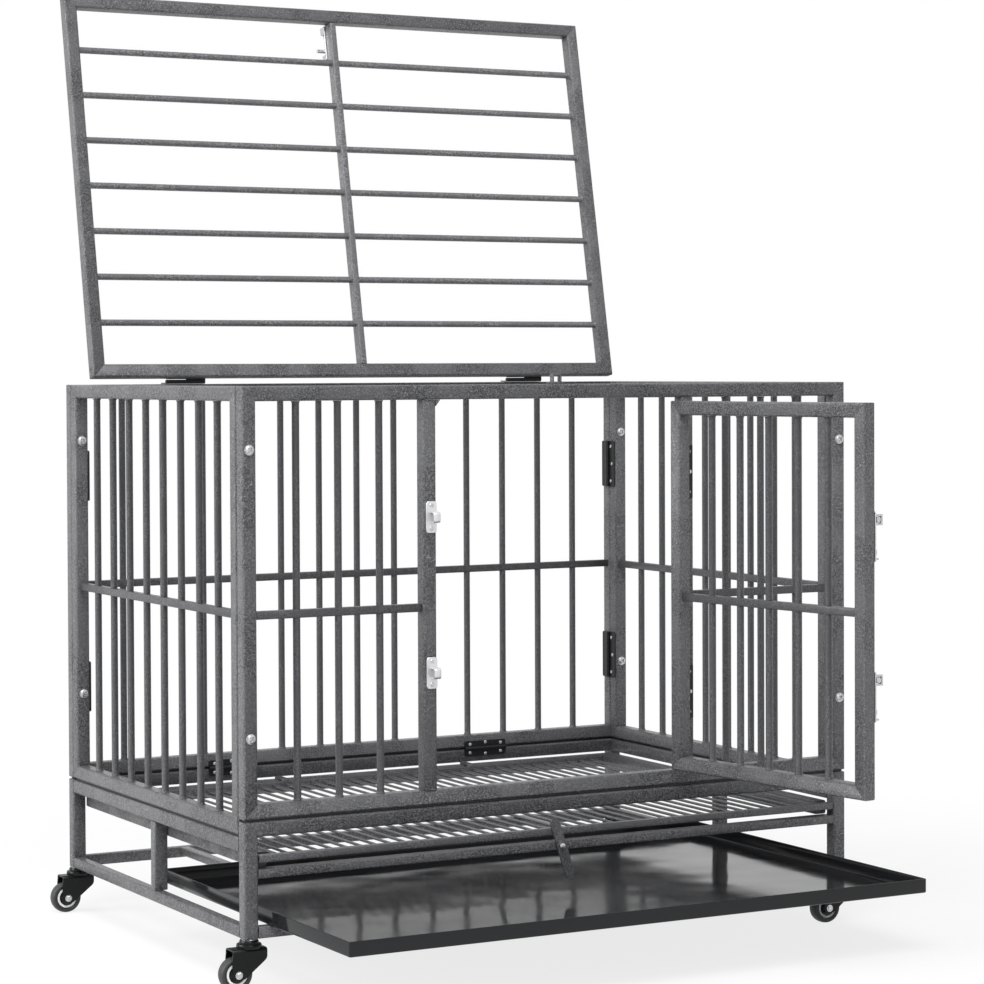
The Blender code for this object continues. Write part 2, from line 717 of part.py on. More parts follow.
def tray(root, enamel):
    """An open sheet tray, pulled out over the front foot rail."""
    z0 = BASE_BOTTOM + FOOT_RAIL + WELD_GAP
    home = -HALF_Y + TRAY_SEAT + 0.002
    slide = empty("tray_axis", (0, home - TRAY_OUT, z0), root)
    x = TRAY_LENGTH / 2
    t = TRAY_SHEET
    parts = [
        (-x, x, 0, TRAY_DEPTH, 0, t),
        (-x, -x + t, 0, TRAY_DEPTH, 0, TRAY_RIM),
        (x - t, x, 0, TRAY_DEPTH, 0, TRAY_RIM),
        (-x, x, 0, t, 0, TRAY_RIM),
        (-x, x, TRAY_DEPTH - t, TRAY_DEPTH, 0, TRAY_RIM),
    ]
    body("tray", boxes(parts), enamel, slide)


def retainer(root, steel):
    """The flat arm that swings in front of the floor grid and the tray."""
    z = BASE_BOTTOM + SLOT_RAIL_RISE + SLOT_RAIL / 2
    y = FRONT - WELD_GAP
    pivot = empty("retainer_axis", (ARM_AT, y, z), root)
    w = ARM_WIDTH / 2
    outline = []
    for centre, first in ((ARM_UP - w, 0), (-(ARM_DOWN - w), 180)):
        for n in range(7):
            turn = math.radians(first + n * 30)
            outline.append((w * math.cos(turn), centre + w * math.sin(turn)))
    made = body("retainer", prism(outline, -ARM_THICK, 0), steel, pivot)
    combine(made, rods([((0, -ARM_THICK - 0.0022, 0), (0, -ARM_THICK / 2, 0))], ARM_RIVET / 2))
    pivot.rotation_euler = (0, -ARM_TILT, 0)


def fork_outline(drop):
    """One fork cheek seen from -Y: wide under the crown, round about the axle."""
    r = AXLE_HEAD * 0.85
    x = -CASTER_TRAIL
    z = WHEEL / 2
    low = []
    for n in range(7):
        turn = math.radians(190 + n * 22)
        low.append((x + r * math.cos(turn), z + r * math.sin(turn)))
    ahead = [(FORK_AHEAD, FORK_CROWN - 0.014), (FORK_AHEAD, FORK_CROWN - drop)]
    behind = [(-FORK_BEHIND, FORK_CROWN - drop), (-FORK_BEHIND - 0.001, FORK_CROWN - 0.017)]
    return low + ahead + behind


def caster(word, x, y, root, black, rubber):
    swivel = empty(f"caster_{word}_swivel", (x, y, 0), root)
    inside = FORK_INSIDE / 2
    outside = inside + FORK_SHEET
    outline = fork_outline(0)
    fork = body(f"caster_{word}_fork", prism(outline, -outside, -inside), black, swivel)
    combine(fork, prism(outline, inside, outside))
    crown = (-FORK_BEHIND + 0.0005, FORK_AHEAD - 0.0005, -outside + 0.0005, outside - 0.0005,
             FORK_CROWN - 0.003, FORK_CROWN - 0.0005)
    combine(fork, boxes([crown]))
    top = FORK_CROWN + DISC_HEIGHT
    combine(fork, rods([((0, 0, FORK_CROWN - 0.002), (0, 0, top))], DISC / 2, SMOOTH))
    cap = CASTER_HEIGHT - WELD_GAP
    combine(fork, rods([((0, 0, top - 0.002), (0, 0, cap))], COLLAR / 2, SMOOTH))
    reach = outside + AXLE_HEAD_HEIGHT
    axle = [((-CASTER_TRAIL, -outside + 0.001, WHEEL / 2), (-CASTER_TRAIL, outside - 0.001, WHEEL / 2))]
    combine(fork, rods(axle, AXLE / 2))
    heads = []
    for s in (-1, 1):
        start = (-CASTER_TRAIL, s * (outside - 0.0015), WHEEL / 2)
        heads.append((start, (-CASTER_TRAIL, s * reach, WHEEL / 2)))
    combine(fork, rods(heads, AXLE_HEAD / 2, 6))
    axis = empty(f"caster_{word}_axle", (-CASTER_TRAIL, 0, WHEEL / 2), swivel)
    r, w, h = WHEEL / 2, WHEEL_WIDTH / 2, HUB_WIDTH / 2
    bore = AXLE / 2 + AXLE_SLIP
    profile = [
        (bore, -h), (HUB / 2, -h), (HUB / 2 + 0.001, -w + 0.003), (r - 0.0065, -w + 0.003),
        (r - 0.0055, -w), (r - 0.003, -w), (r - 0.0006, -w * 0.55), (r, 0), (r - 0.0006, w * 0.55),
        (r - 0.003, w), (r - 0.0055, w), (r - 0.0065, w - 0.003), (HUB / 2 + 0.001, w - 0.003),
        (HUB / 2, h), (bore, h),
    ]
    body(f"caster_{word}_wheel", lathe(profile), rubber, axis)


def casters(root, black, rubber):
    x = HALF_X - TUBE / 2
    y = HALF_Y - TUBE / 2
    places = {
        "front_left": (-x, -y), "front_right": (x, -y),
        "back_left": (-x, y), "back_right": (x, y),
    }
    for word, (px, py) in places.items():
        caster(word, px, py, root, black, rubber)


def centre_on_origin(root):
    """Moves the whole crate so that its resting box stands centred on the origin."""
    bpy.context.view_layer.update()
    corners = [
        made.matrix_world @ point.co
        for made in bpy.data.objects if made.type == "MESH"
        for point in made.data.vertices
    ]
    for axis in (0, 1):
        values = [corner[axis] for corner in corners]
        root.location[axis] = -(min(values) + max(values)) / 2
    root.location[2] = -min(corner[2] for corner in corners)


def main():
    clear_scene()
    steel = material("Hammertone steel", (0.085, 0.085, 0.09), 0.6, 0.45)
    enamel = material("Black enamelled sheet", (0.012, 0.013, 0.015), 0.0, 0.18)
    black = material("Black plated steel", (0.02, 0.02, 0.022), 0.7, 0.35)
    zinc = material("Zinc plated steel", (0.55, 0.55, 0.56), 1.0, 0.3)
    rubber = material("Grey rubber", (0.06, 0.06, 0.065), 0.0, 0.6)
    root = empty("crate", (0, 0, 0), None)
    back_panel(root, steel)
    side_panel("left", -1, root, steel)
    side_panel("right", 1, root, steel)
    front_panel(root, steel)
    door(root, steel, black, zinc)
    lid(root, steel, black, zinc)
    corner_hinges(root, black)
    base_hinges(root, black)
    base(root, steel)
    floor_grid(root, steel)
    tray(root, enamel)
    retainer(root, steel)
    casters(root, black, rubber)
    centre_on_origin(root)


main()
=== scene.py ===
import math

import bmesh
import bpy
import mathutils
import numpy as np
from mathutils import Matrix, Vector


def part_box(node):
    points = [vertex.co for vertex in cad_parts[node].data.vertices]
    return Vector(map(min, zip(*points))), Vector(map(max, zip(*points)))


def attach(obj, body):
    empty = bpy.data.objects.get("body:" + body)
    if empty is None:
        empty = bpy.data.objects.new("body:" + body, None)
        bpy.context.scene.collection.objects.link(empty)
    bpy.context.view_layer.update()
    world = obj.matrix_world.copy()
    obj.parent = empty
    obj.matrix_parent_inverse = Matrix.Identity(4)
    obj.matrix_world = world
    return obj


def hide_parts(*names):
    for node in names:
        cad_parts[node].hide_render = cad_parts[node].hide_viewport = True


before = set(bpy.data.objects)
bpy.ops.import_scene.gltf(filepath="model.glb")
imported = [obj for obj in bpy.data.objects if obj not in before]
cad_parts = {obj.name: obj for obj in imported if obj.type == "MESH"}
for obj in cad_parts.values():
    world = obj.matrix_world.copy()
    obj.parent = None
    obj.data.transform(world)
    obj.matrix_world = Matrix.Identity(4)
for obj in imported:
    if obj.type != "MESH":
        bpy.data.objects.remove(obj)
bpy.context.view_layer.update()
print("frame loaded,", len(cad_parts), "nodes")

# The crate's own middle, read from the stand's front: every piece below is drawn about it.
standFrontLow = np.array([-0.480, -0.3275, 0.067])  # its low corner, about the middle
crateMiddle = np.array(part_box("base_front")[0]) - standFrontLow

crate = dict(
    halfLength=0.480, halfDepth=0.3275, panelBottom=0.224, sideBottom=0.203, top=0.7927,
    tube=0.020, tubeCorner=0.0029, cornerShare=0.15, bar=0.010,
    midRail=0.011, midRailCorner=0.0012, midRailHeight=0.4915, railGap=0.0002,
    weld=0.0011, seamLength=0.0007, seamDepth=0.00035,
)


def skin(rings, loop=False):
    # Four-sided faces from each closed ring to the next, with a flat cap on each end. With
    # loop the last ring meets the first instead, as in a band.
    rings = np.asarray(rings, float)
    count, sides = rings.shape[:2]
    index = np.arange(count * sides).reshape(count, sides)
    first = index if loop else index[:-1]
    second = np.roll(index, -1, axis=0) if loop else index[1:]
    quads = np.stack([first, np.roll(first, -1, 1), np.roll(second, -1, 1), second], -1)
    faces = quads.reshape(-1, 4).tolist()
    if not loop:
        faces += [index[0, ::-1].tolist(), index[-1].tolist()]
    return rings.reshape(-1, 3), faces


def stacked(parts):
    # One mesh out of many: points one after the other, face numbers moved up to match.
    points, faces, used = [], [], 0
    for partPoints, partFaces in parts:
        points.append(partPoints)
        faces += [[corner + used for corner in face] for face in partFaces]
        used += len(partPoints)
    return np.concatenate(points), faces


def roundedOutline(width, height, radius, steps=4):
    # A rectangle whose corners are quarter circles: corner centre + radius * (cos, sin).
    turn = np.radians(np.arange(4)[:, None] * 90 + np.linspace(0, 90, steps + 1))
    middleX = (width / 2 - radius) * np.array([1, -1, -1, 1])[:, None]
    middleY = (height / 2 - radius) * np.array([1, 1, -1, -1])[:, None]
    x = middleX + radius * np.cos(turn)
    y = middleY + radius * np.sin(turn)
    return np.stack([x, y], -1).reshape(-1, 2)


def roundedCorners(corners, radii, steps=5):
    # Each corner becomes a curve from r before it to r after it, r under half a side:
    # (1-t)^2 A + 2t(1-t) B + t^2 C, with the corner itself as B.
    corners = np.asarray(corners, float)
    sides = [np.roll(corners, turn, 0) - corners for turn in (1, -1)]
    lengths = [np.linalg.norm(side, axis=1)[:, None] for side in sides]
    reach = np.minimum(np.asarray(radii)[:, None], 0.49 * np.minimum(*lengths))
    a, c = ((corners + side / length * reach)[:, None] for side, length in zip(sides, lengths))
    t = np.linspace(0, 1, steps + 1)[None, :, None]
    curve = (1 - t) ** 2 * a + 2 * t * (1 - t) * corners[:, None] + t ** 2 * c
    return curve.reshape(-1, 2)


def unit(vector):
    vector = np.asarray(vector, float)
    return vector / np.linalg.norm(vector)


def squareTo(axis):
    # Two directions square to an axis and to each other, from a slant that no piece follows.
    side = unit(np.cross(axis, [0.31, 0.87, 0.38]))
    return side, np.cross(axis, side)


def squareTube(start, end, inward, width=None, depth=None, cuts=(0, 0), corner=None):
    # A rounded rectangle carried from start to end. Each end slopes by its cut: place along
    # the tube = end + cut * distance inward. The last bit draws in, which leaves a seam.
    width = width or crate["tube"]
    depth = depth or width
    share = crate["cornerShare"]
    corner = corner or min(crate["tubeCorner"], width * share, depth * share)
    start, end = np.asarray(start, float), np.asarray(end, float)
    along, inward = unit(end - start), unit(inward)
    sideways = np.cross(along, inward)
    length = np.linalg.norm(end - start)
    seam = crate["seamLength"]
    outline = roundedOutline(width, depth, corner)
    drawnIn = outline * (1 - 2 * crate["seamDepth"] / min(width, depth))
    rings = []
    for place, shape, cut in (
        (0, drawnIn, cuts[0]), (seam, outline, cuts[0]),
        (length - seam, outline, cuts[1]), (length, drawnIn, cuts[1]),
    ):
        far = place + cut * shape[:, :1]
        rings.append(start + far * along + shape[:, :1] * inward + shape[:, 1:] * sideways)
    return skin(rings)


def mitredFrame(corners, width=None):
    # Four tubes round a rectangle of centre-line corners, each end cut at 45 degrees.
    corners = np.asarray(corners, float)
    middle = corners.mean(0)
    parts = []
    for n in range(4):
        start, end = corners[n], corners[(n + 1) % 4]
        inward = middle - (start + end) / 2
        parts.append(squareTube(start, end, inward, width, cuts=(1, -1)))
    return parts


def turned(profile, centre, axis, sides=32, loop=False):
    # A profile of (radius, height) turned about an axis: centre + axis * height + radius
    # round it. With loop the profile's end meets its start, as in a band.
    profile = np.asarray(profile, float)
    axis = unit(axis)
    side, up = squareTo(axis)
    turn = 2 * math.pi * np.arange(sides) / sides
    spoke = np.cos(turn)[:, None] * side + np.sin(turn)[:, None] * up
    radius, height = profile[:, 0, None, None], profile[:, 1, None, None]
    rings = np.asarray(centre, float) + height * axis + radius * spoke
    return skin(rings, loop)


def roundBar(start, end, radius, weld=None, sides=20):
    # A round bar that swells at both ends into its weld: the radius falls off over 2.7 mm.
    weld = crate["weld"] if weld is None else weld
    start, end = np.asarray(start, float), np.asarray(end, float)
    length = np.linalg.norm(end - start)
    swell = np.array([(0, 1.0), (0.0006, 0.85), (0.0015, 0.32), (0.0027, 0.0)])
    near = np.stack([radius + weld * swell[:, 1], swell[:, 0]], -1)
    far = np.stack([radius + weld * swell[::-1, 1], length - swell[::-1, 0]], -1)
    return turned(np.concatenate([near, far]), start, end - start, sides)


# A bolt or rivet head, in shares of its radius and, for the first two, of its height.
headShape = dict(rim=0.3, skirt=0.35, curve=0.93, crossHalf=0.16, crossReach=0.62)


def dome(centre, axis, radius, height, recess=0, sides=40):
    # A head on a low skirt, domed as sqrt(1 - (curve * r / R) ** 2), with a cross pressed
    # into it where the way across either arm is under its half width.
    axis = unit(axis)
    side, up = squareTo(axis)
    share = np.concatenate([[1.0, 1.0], np.linspace(0.985, 0.02, 18)])
    turn = 2 * math.pi * np.arange(sides) / sides
    across = share[:, None] * np.cos(turn)
    along = share[:, None] * np.sin(turn)
    curve = np.sqrt(1 - (headShape["curve"] * share) ** 2)
    skirt = headShape["skirt"]
    rise = np.repeat(height * (skirt + (1 - skirt) * curve / curve[-1])[:, None], sides, 1)
    rise[0] = 0
    rise[1] = height * headShape["rim"]
    arm = np.minimum(np.abs(across), np.abs(along))
    pressed = (arm < headShape["crossHalf"]) & (share[:, None] < headShape["crossReach"])
    rise = rise - recess * pressed
    rings = (
        np.asarray(centre, float) + (radius * across)[..., None] * side
        + (radius * along)[..., None] * up + rise[..., None] * axis
    )
    return skin(rings)


def plate(outline, centre, right, up, thickness, edge=0.0004):
    # A flat plate: its outline drawn in by the edge radius at the back and the front.
    outline = np.asarray(outline, float)
    right, up = unit(right), unit(up)
    out = np.cross(right, up)
    middle = outline.mean(0)
    reach = np.abs(outline - middle).max()
    small = middle + (outline - middle) * (1 - edge / reach)
    levels = ((small, 0), (outline, edge), (outline, thickness - edge), (small, thickness))
    rings = [
        np.asarray(centre, float) + shape[:, :1] * right + shape[:, 1:] * up + depth * out
        for shape, depth in levels
    ]
    return skin(rings)


def strap(path, side, width, thickness, corner=0.0004):
    # A thin rounded rectangle carried along a bent path, its thin way square to the path.
    path, side = np.asarray(path, float), unit(side)
    direction = np.gradient(path, axis=0)
    direction /= np.linalg.norm(direction, axis=1)[:, None]
    normal = np.cross(direction, side)
    shape = roundedOutline(width, thickness, corner, 2)
    rings = path[:, None] + shape[None, :, :1] * side + shape[None, :, 1:] * normal[:, None]
    return skin(rings[:, ::-1])


def spread(low, high, count):
    # Places that share the space between two edges evenly.
    return low + (high - low) * (np.arange(count) + 1) / (count + 1)


def swung(parts, leaf):
    # Turns a leaf's parts about x or z by its turn, and moves them to its axis.
    angle = math.radians(leaf["turn"])
    c, s = math.cos(angle), math.sin(angle)
    turn = {
        "x": np.array([[1, 0, 0], [0, c, -s], [0, s, c]]),
        "z": np.array([[c, -s, 0], [s, c, 0], [0, 0, 1]]),
    }[leaf["about"]]
    return [(points @ turn.T + np.asarray(leaf["axis"], float), faces) for points, faces in parts]


def addObject(name, data):
    thing = bpy.data.objects.new(name, data)
    bpy.context.scene.collection.objects.link(thing)
    return thing


def placePiece(name, mesh, material, body, nodes, sharp=38):
    # Shades smooth across edges under the given angle, and joins the piece to its body.
    mesh.shade_smooth()
    mesh.set_sharp_from_angle(angle=math.radians(sharp))
    mesh.materials.append(material)
    piece = addObject(name, mesh)
    if nodes:
        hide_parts(*nodes)
    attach(piece, body)
    return piece


def addPiece(name, parts, material, body, nodes=(), sharp=38):
    # A new mesh from its parts, with every closed part's faces turned outwards.
    points, faces = stacked(parts)
    mesh = bpy.data.meshes.new(name)
    mesh.from_pydata((points + crateMiddle).tolist(), [], faces)
    shape = bmesh.new()
    shape.from_mesh(mesh)
    bmesh.ops.recalc_face_normals(shape, faces=shape.faces)
    shape.to_mesh(mesh)
    shape.free()
    placePiece(name, mesh, material, body, nodes, sharp)


softening = dict(merge=0.00001, flatAngle=0.02, edgeAngle=40)


def addSoftened(name, node, material, body, edge):
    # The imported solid's own shape, its points merged and its edges rounded over.
    shape = bmesh.new()
    shape.from_mesh(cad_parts[node].data)
    bmesh.ops.remove_doubles(shape, verts=shape.verts, dist=softening["merge"])
    bmesh.ops.dissolve_limit(shape, angle_limit=softening["flatAngle"], verts=shape.verts,
                             edges=shape.edges)
    bmesh.ops.recalc_face_normals(shape, faces=shape.faces)
    mesh = bpy.data.meshes.new(name)
    shape.to_mesh(mesh)
    shape.free()
    piece = placePiece(name, mesh, material, body, [node])
    rounding = piece.modifiers.new("roundedEdges", "BEVEL")
    rounding.width = edge
    rounding.segments = 2
    rounding.limit_method = "ANGLE"
    rounding.angle_limit = math.radians(softening["edgeAngle"])


def linear(hexColour):
    # sRGB to linear: c / 12.92 in the darks, else ((c + 0.055) / 1.055) ** 2.4.
    c = np.array([int(hexColour[n:n + 2], 16) / 255 for n in (1, 3, 5)])
    value = np.where(c <= 0.04045, c / 12.92, ((c + 0.055) / 1.055) ** 2.4)
    return (*value.tolist(), 1.0)


def addNode(tree, kind, inputs=None, **settings):
    # Adds a node: settings go on the node itself, inputs on its sockets, as links or values.
    node = tree.nodes.new("ShaderNode" + kind)
    for name, value in settings.items():
        setattr(node, name, value)
    for name, value in (inputs or {}).items():
        if isinstance(value, bpy.types.NodeSocket):
            tree.links.new(value, node.inputs[name])
        else:
            node.inputs[name].default_value = value
    return node


def startMaterial(name):
    # An empty material, and the object's own coordinates to lay its pattern on.
    material = bpy.data.materials.new(name)
    material.use_nodes = True
    tree = material.node_tree
    tree.nodes.clear()
    return material, tree, addNode(tree, "TexCoord").outputs["Object"]


def finishMaterial(material, inputs):
    shader = addNode(material.node_tree, "BsdfPrincipled", inputs)
    addNode(material.node_tree, "OutputMaterial", {"Surface": shader.outputs[0]})
    return material


eased = dict(interpolation_type="SMOOTHSTEP")
noiseSpan = {"From Min": 0.3, "From Max": 0.7}  # nearly all of a noise lies between these


def hammertonePaint(look):
    # Hammer finish enamel sprayed on steel tube: the silicone in it pulls the wet film into
    # pits a few mm apart, with aluminium flake gathered pale on the ridges between them.
    material, tree, place = startMaterial(look["name"])
    pits = addNode(tree, "TexVoronoi", {
        "Vector": place, "Scale": 1 / look["pitSpacing"], "Smoothness": 0.35,
    }, feature="SMOOTH_F1")
    grain = addNode(tree, "TexNoise", {
        "Vector": place, "Scale": 1 / look["flakeSize"], "Detail": 3.0, "Roughness": 0.62,
    })
    cloud = addNode(tree, "TexNoise", {
        "Vector": place, "Scale": 1 / look["sprayPatch"], "Detail": 1.5,
    })
    ridge = addNode(tree, "MapRange", {
        "Value": pits.outputs["Distance"], "From Min": 0.18, "From Max": 0.62,
    }, **eased)
    fleck = addNode(tree, "MapRange", {
        "Value": grain.outputs["Fac"], "From Min": 0.36, "From Max": 0.66,
    }, **eased)
    loose = addNode(tree, "Math", {0: fleck.outputs[0], 1: 0.45}, operation="MULTIPLY")
    mixed = addNode(tree, "Math", {
        0: ridge.outputs[0], 1: fleck.outputs[0], 2: loose.outputs[0],
    }, operation="MULTIPLY_ADD")
    # The pits are bold where the spray lay wet and faint where it lay dry, hand-widths apart.
    wet = addNode(tree, "MapRange", {
        "Value": cloud.outputs["Fac"], "From Min": 0.40, "From Max": 0.62,
        "To Min": look["dryPits"], "To Max": look["wetPits"],
    }, **eased)
    even = look["evenLevel"]
    middle = addNode(tree, "Math", {0: mixed.outputs[0], 1: even}, operation="SUBTRACT")
    level = addNode(tree, "Math", {
        0: middle.outputs[0], 1: wet.outputs[0], 2: even,
    }, operation="MULTIPLY_ADD")
    colour = addNode(tree, "Mix", {
        0: level.outputs[0], 6: linear(look["pit"]), 7: linear(look["flake"]),
    }, data_type="RGBA")
    shade = addNode(tree, "MapRange", {
        "Value": cloud.outputs["Fac"], **noiseSpan, "To Min": 0.95, "To Max": 1.05,
    })
    tinted = addNode(tree, "Mix", {
        0: 1.0, 6: colour.outputs[2], 7: shade.outputs[0],
    }, data_type="RGBA", blend_type="MULTIPLY")
    gloss = addNode(tree, "MapRange", {
        "Value": mixed.outputs[0],
        "To Min": look["roughness"] + 0.1, "To Max": look["roughness"] - 0.06,
    })
    relief = addNode(tree, "Bump", {
        "Height": level.outputs[0], "Strength": look["relief"], "Distance": look["pitDepth"],
    })
    return finishMaterial(material, {
        "Base Color": tinted.outputs[2], "Metallic": look["metallic"],
        "Roughness": gloss.outputs[0], "Normal": relief.outputs[0],
        "Coat Weight": 0.25, "Coat Roughness": 0.22,
    })


def sheetEnamel(look):
    # Gloss black powder coat on folded sheet: the sheet's slow waves bend what it mirrors, and
    # a fine orange peel lies over them.
    material, tree, place = startMaterial(look["name"])
    waves = addNode(tree, "TexNoise", {
        "Vector": place, "Scale": 1 / look["waveLength"], "Detail": 1.0,
    })
    peel = addNode(tree, "TexNoise", {"Vector": place, "Scale": 1 / look["peelSize"]})
    smudge = addNode(tree, "TexNoise", {
        "Vector": place, "Scale": 1 / look["smudgeSize"], "Detail": 4.0,
    })
    swell = addNode(tree, "Bump", {
        "Height": waves.outputs["Fac"], "Distance": look["waveHeight"],
    })
    skinPeel = addNode(tree, "Bump", {
        "Height": peel.outputs["Fac"], "Strength": 0.05, "Distance": 0.0002,
        "Normal": swell.outputs[0],
    })
    gloss = addNode(tree, "MapRange", {
        "Value": smudge.outputs["Fac"], **noiseSpan,
        "To Min": look["roughness"] - 0.03, "To Max": look["roughness"] + 0.05,
    })
    return finishMaterial(material, {
        "Base Color": linear(look["black"]), "Specular IOR Level": look["specular"],
        "Roughness": gloss.outputs[0], "Normal": skinPeel.outputs[0],
    })


def finishMottled(material, look, shade, cloud, height):
    # Colour from dark to light with the shade, roughness about its level with the cloud, and
    # a relief from the height.
    tree, level = material.node_tree, look["roughness"]
    colour = addNode(tree, "Mix", {
        0: shade, 6: linear(look["dark"]), 7: linear(look["light"]),
    }, data_type="RGBA")
    gloss = addNode(tree, "MapRange", {
        "Value": cloud, **noiseSpan, "To Min": level - 0.06, "To Max": level + look["spread"],
    })
    relief = addNode(tree, "Bump", {
        "Height": height, "Strength": look["relief"], "Distance": look["depth"],
    })
    return finishMaterial(material, {
        "Base Color": colour.outputs[2], "Metallic": look["metallic"],
        "Specular IOR Level": look["specular"], "Roughness": gloss.outputs[0],
        "Normal": relief.outputs[0],
    })


def platedSteel(look):
    # Electroplated steel: mottled in patches of crystal about a millimetre wide, with the
    # faint streaks that tumbling in the plating barrel leaves.
    material, tree, place = startMaterial(look["name"])
    patch = addNode(tree, "TexVoronoi", {"Vector": place, "Scale": 1 / look["crystal"]})
    mottle = addNode(tree, "TexNoise", {
        "Vector": place, "Scale": 1 / look["mottleSize"], "Detail": 4.0,
    }).outputs["Fac"]
    blend = addNode(tree, "Mix", {0: 0.35, 2: mottle, 3: patch.outputs["Color"]})
    streak = addNode(tree, "Mapping", {"Vector": place, "Scale": (1.0, 1.0, 0.12)})
    scratches = addNode(tree, "TexNoise", {
        "Vector": streak.outputs[0], "Scale": 1 / look["scratchWidth"], "Detail": 3.0,
    })
    return finishMottled(material, look, blend.outputs[0], mottle, scratches.outputs["Fac"])


def mouldedRubber(look):
    # Moulded rubber, nylon or epoxy: a little dusty in patches, with a fine sparkle grain.
    material, tree, place = startMaterial(look["name"])
    dust = addNode(tree, "TexNoise", {
        "Vector": place, "Scale": 1 / look["dustSize"], "Detail": 4.0,
    }).outputs["Fac"]
    grain = addNode(tree, "TexNoise", {"Vector": place, "Scale": 1 / look["grainSize"]})
    return finishMottled(material, look, dust, dust, grain.outputs["Fac"])


paint = dict(
    metallic=0.2, evenLevel=0.42, sprayPatch=0.055, pitDepth=0.0011,
    dryPits=0.3, wetPits=1.0, roughness=0.38, pitSpacing=0.0036, flakeSize=0.0022, relief=0.45,
)
hammertone = hammertonePaint(dict(
    paint, name="hammertoneEnamelOnSteelTube", pit="#363638", flake="#767679", dryPits=0.4,
    wetPits=1.15, roughness=0.36, pitSpacing=0.0034, flakeSize=0.0020, relief=1.0,
))
hammertoneBarsShaded = hammertonePaint(dict(  # the same paint, drawn smoother by a tight curve, and darker as painted shade
    paint, name="hammertoneEnamelOnRoundBarShadedDarker", pit="#2c2c2e", flake="#4c4c4f",
))
hammertoneWire = hammertonePaint(dict(  # on the thin wires it gathers less, and its tone runs darker and narrower
    paint, name="hammertoneEnamelOnFloorWire", pit="#39393b", flake="#606063",
))
hammertoneLidLit = hammertonePaint(dict(  # the same paint, paler as painted light where the raised lid catches the top light
    paint, name="hammertoneEnamelOnLidBarLitPaler", pit="#404042", flake="#7c7c7f", roughness=0.36,
))
blackSheet = sheetEnamel(dict(
    name="glossBlackPowderCoatedSheet", black="#1a1b1d", specular=0.28, roughness=0.09,
    waveLength=0.13, waveHeight=0.0016, peelSize=0.004, smudgeSize=0.09,
))
plating = dict(mottleSize=0.0035, scratchWidth=0.0006, depth=0.00008, spread=0.08, specular=0.5)
zincPlate = platedSteel(dict(
    plating, name="brightZincPlatedSteel", dark="#9a9a9d", light="#e6e6e8", metallic=1.0,
    roughness=0.27, crystal=0.0012, relief=0.3,
))
keeperPlate = platedSteel(dict(
    plating, name="nickelPlatedKeeperSheet", dark="#cfcfd1", light="#e4e4e6", metallic=0.85,
    roughness=0.42, crystal=0.0012, relief=0.06,
))
blackPlate = platedSteel(dict(
    plating, name="blackPlatedHingeSteel", dark="#161718", light="#2b2c2e", metallic=0.6,
    roughness=0.4, crystal=0.0015, relief=0.25,
))
moulding = dict(dustSize=0.006, grainSize=0.0008, depth=0.0001, spread=0.06, specular=0.4,
                metallic=0.0, relief=0.25)
forkEnamel = mouldedRubber(dict(
    moulding, name="blackEpoxyCoatedFork", dark="#090a0b", light="#101213", roughness=0.24,
    specular=0.22, relief=0.04,
))
tyreRubber = mouldedRubber(dict(
    moulding, name="greyThermoplasticRubberTyre", dark="#242526", light="#38393a", roughness=0.5,
))
hubNylon = mouldedRubber(dict(
    moulding, name="blackNylonWheelHub", dark="#0f1011", light="#191a1b", roughness=0.4,
))
ringPlastic = mouldedRubber(dict(
    moulding, name="paleGreyWheelRing", dark="#dededc", light="#f2f2f0", roughness=0.4,
))
print("finishes ready")


tube, half = crate["tube"], crate["tube"] / 2
top, midHeight = crate["top"], crate["midRailHeight"]
bottom, sideBottom = crate["panelBottom"], crate["sideBottom"]
endX, endY = crate["halfLength"], crate["halfDepth"]
inX, inY = endX - tube, endY - tube


def spot(place, centre, height, along="x"):
    return (place, centre, height) if along == "x" else (centre, place, height)


def levelTube(reach, centre, height, along="x", width=None, depth=None, corner=None):
    # A tube along x or y that reaches equally far to both sides of the crate's middle.
    ends = [spot(place, centre, height, along) for place in (-reach, reach)]
    return squareTube(*ends, (0, 0, 1), width, depth, corner=corner)


def panelFrame(low, high, centre, under, over, along="x", width=None):
    # Four mitred tubes just inside the edges of an upright panel along x or y.
    low, high, under, over = low + half, high - half, under + half, over - half
    flat = ((low, under), (high, under), (high, over), (low, over))
    return mitredFrame([spot(place, centre, z, along) for place, z in flat], width)


def grille(low, high, count, centre, heights, along="x"):
    # Upright bars spread evenly between two edges, and the level rail that ties them.
    parts = [roundBar(*[spot(place, centre, z, along) for z in heights], crate["bar"] / 2)
             for place in spread(low, high, count)]
    gap = crate["railGap"]
    ends = [spot(place, centre, midHeight, along) for place in (low + gap, high - gap)]
    parts.append(squareTube(*ends, (0, 0, 1), crate["midRail"], corner=crate["midRailCorner"]))
    return parts


backPanel = dict(tube=0.0199, bars=13, centreY=0.31765, heights=(0.2233, 0.7724))
tubes = panelFrame(-endX, endX, backPanel["centreY"], sideBottom, top, width=backPanel["tube"])
addPiece("backPanelTubes", tubes, hammertone, "cage", ["back_frame"])
bars = grille(-inX, inX, backPanel["bars"], backPanel["centreY"], backPanel["heights"])
addPiece("backPanelBars", bars, hammertoneBarsShaded, "cage", ["back_grille"])

# The seam is the thin dark gap that the front corners show beside the front panel.
sidePanel = dict(bars=8, endY=0.3072, centreX=0.470, seam=0.0017, heights=(0.2233, 0.7724))
for word, side in (("left", -1), ("right", 1)):
    x, end = side * sidePanel["centreX"], sidePanel["endY"]
    tubes = panelFrame(-end + sidePanel["seam"], end, x, sideBottom, top, "y")
    addPiece(word + "PanelTubes", tubes, hammertone, "cage", [word + "_frame"])
    reach = end - tube
    bars = grille(-reach, reach, sidePanel["bars"], x, sidePanel["heights"], "y")
    addPiece(word + "PanelBars", bars, hammertoneBarsShaded, "cage", [word + "_grille"])

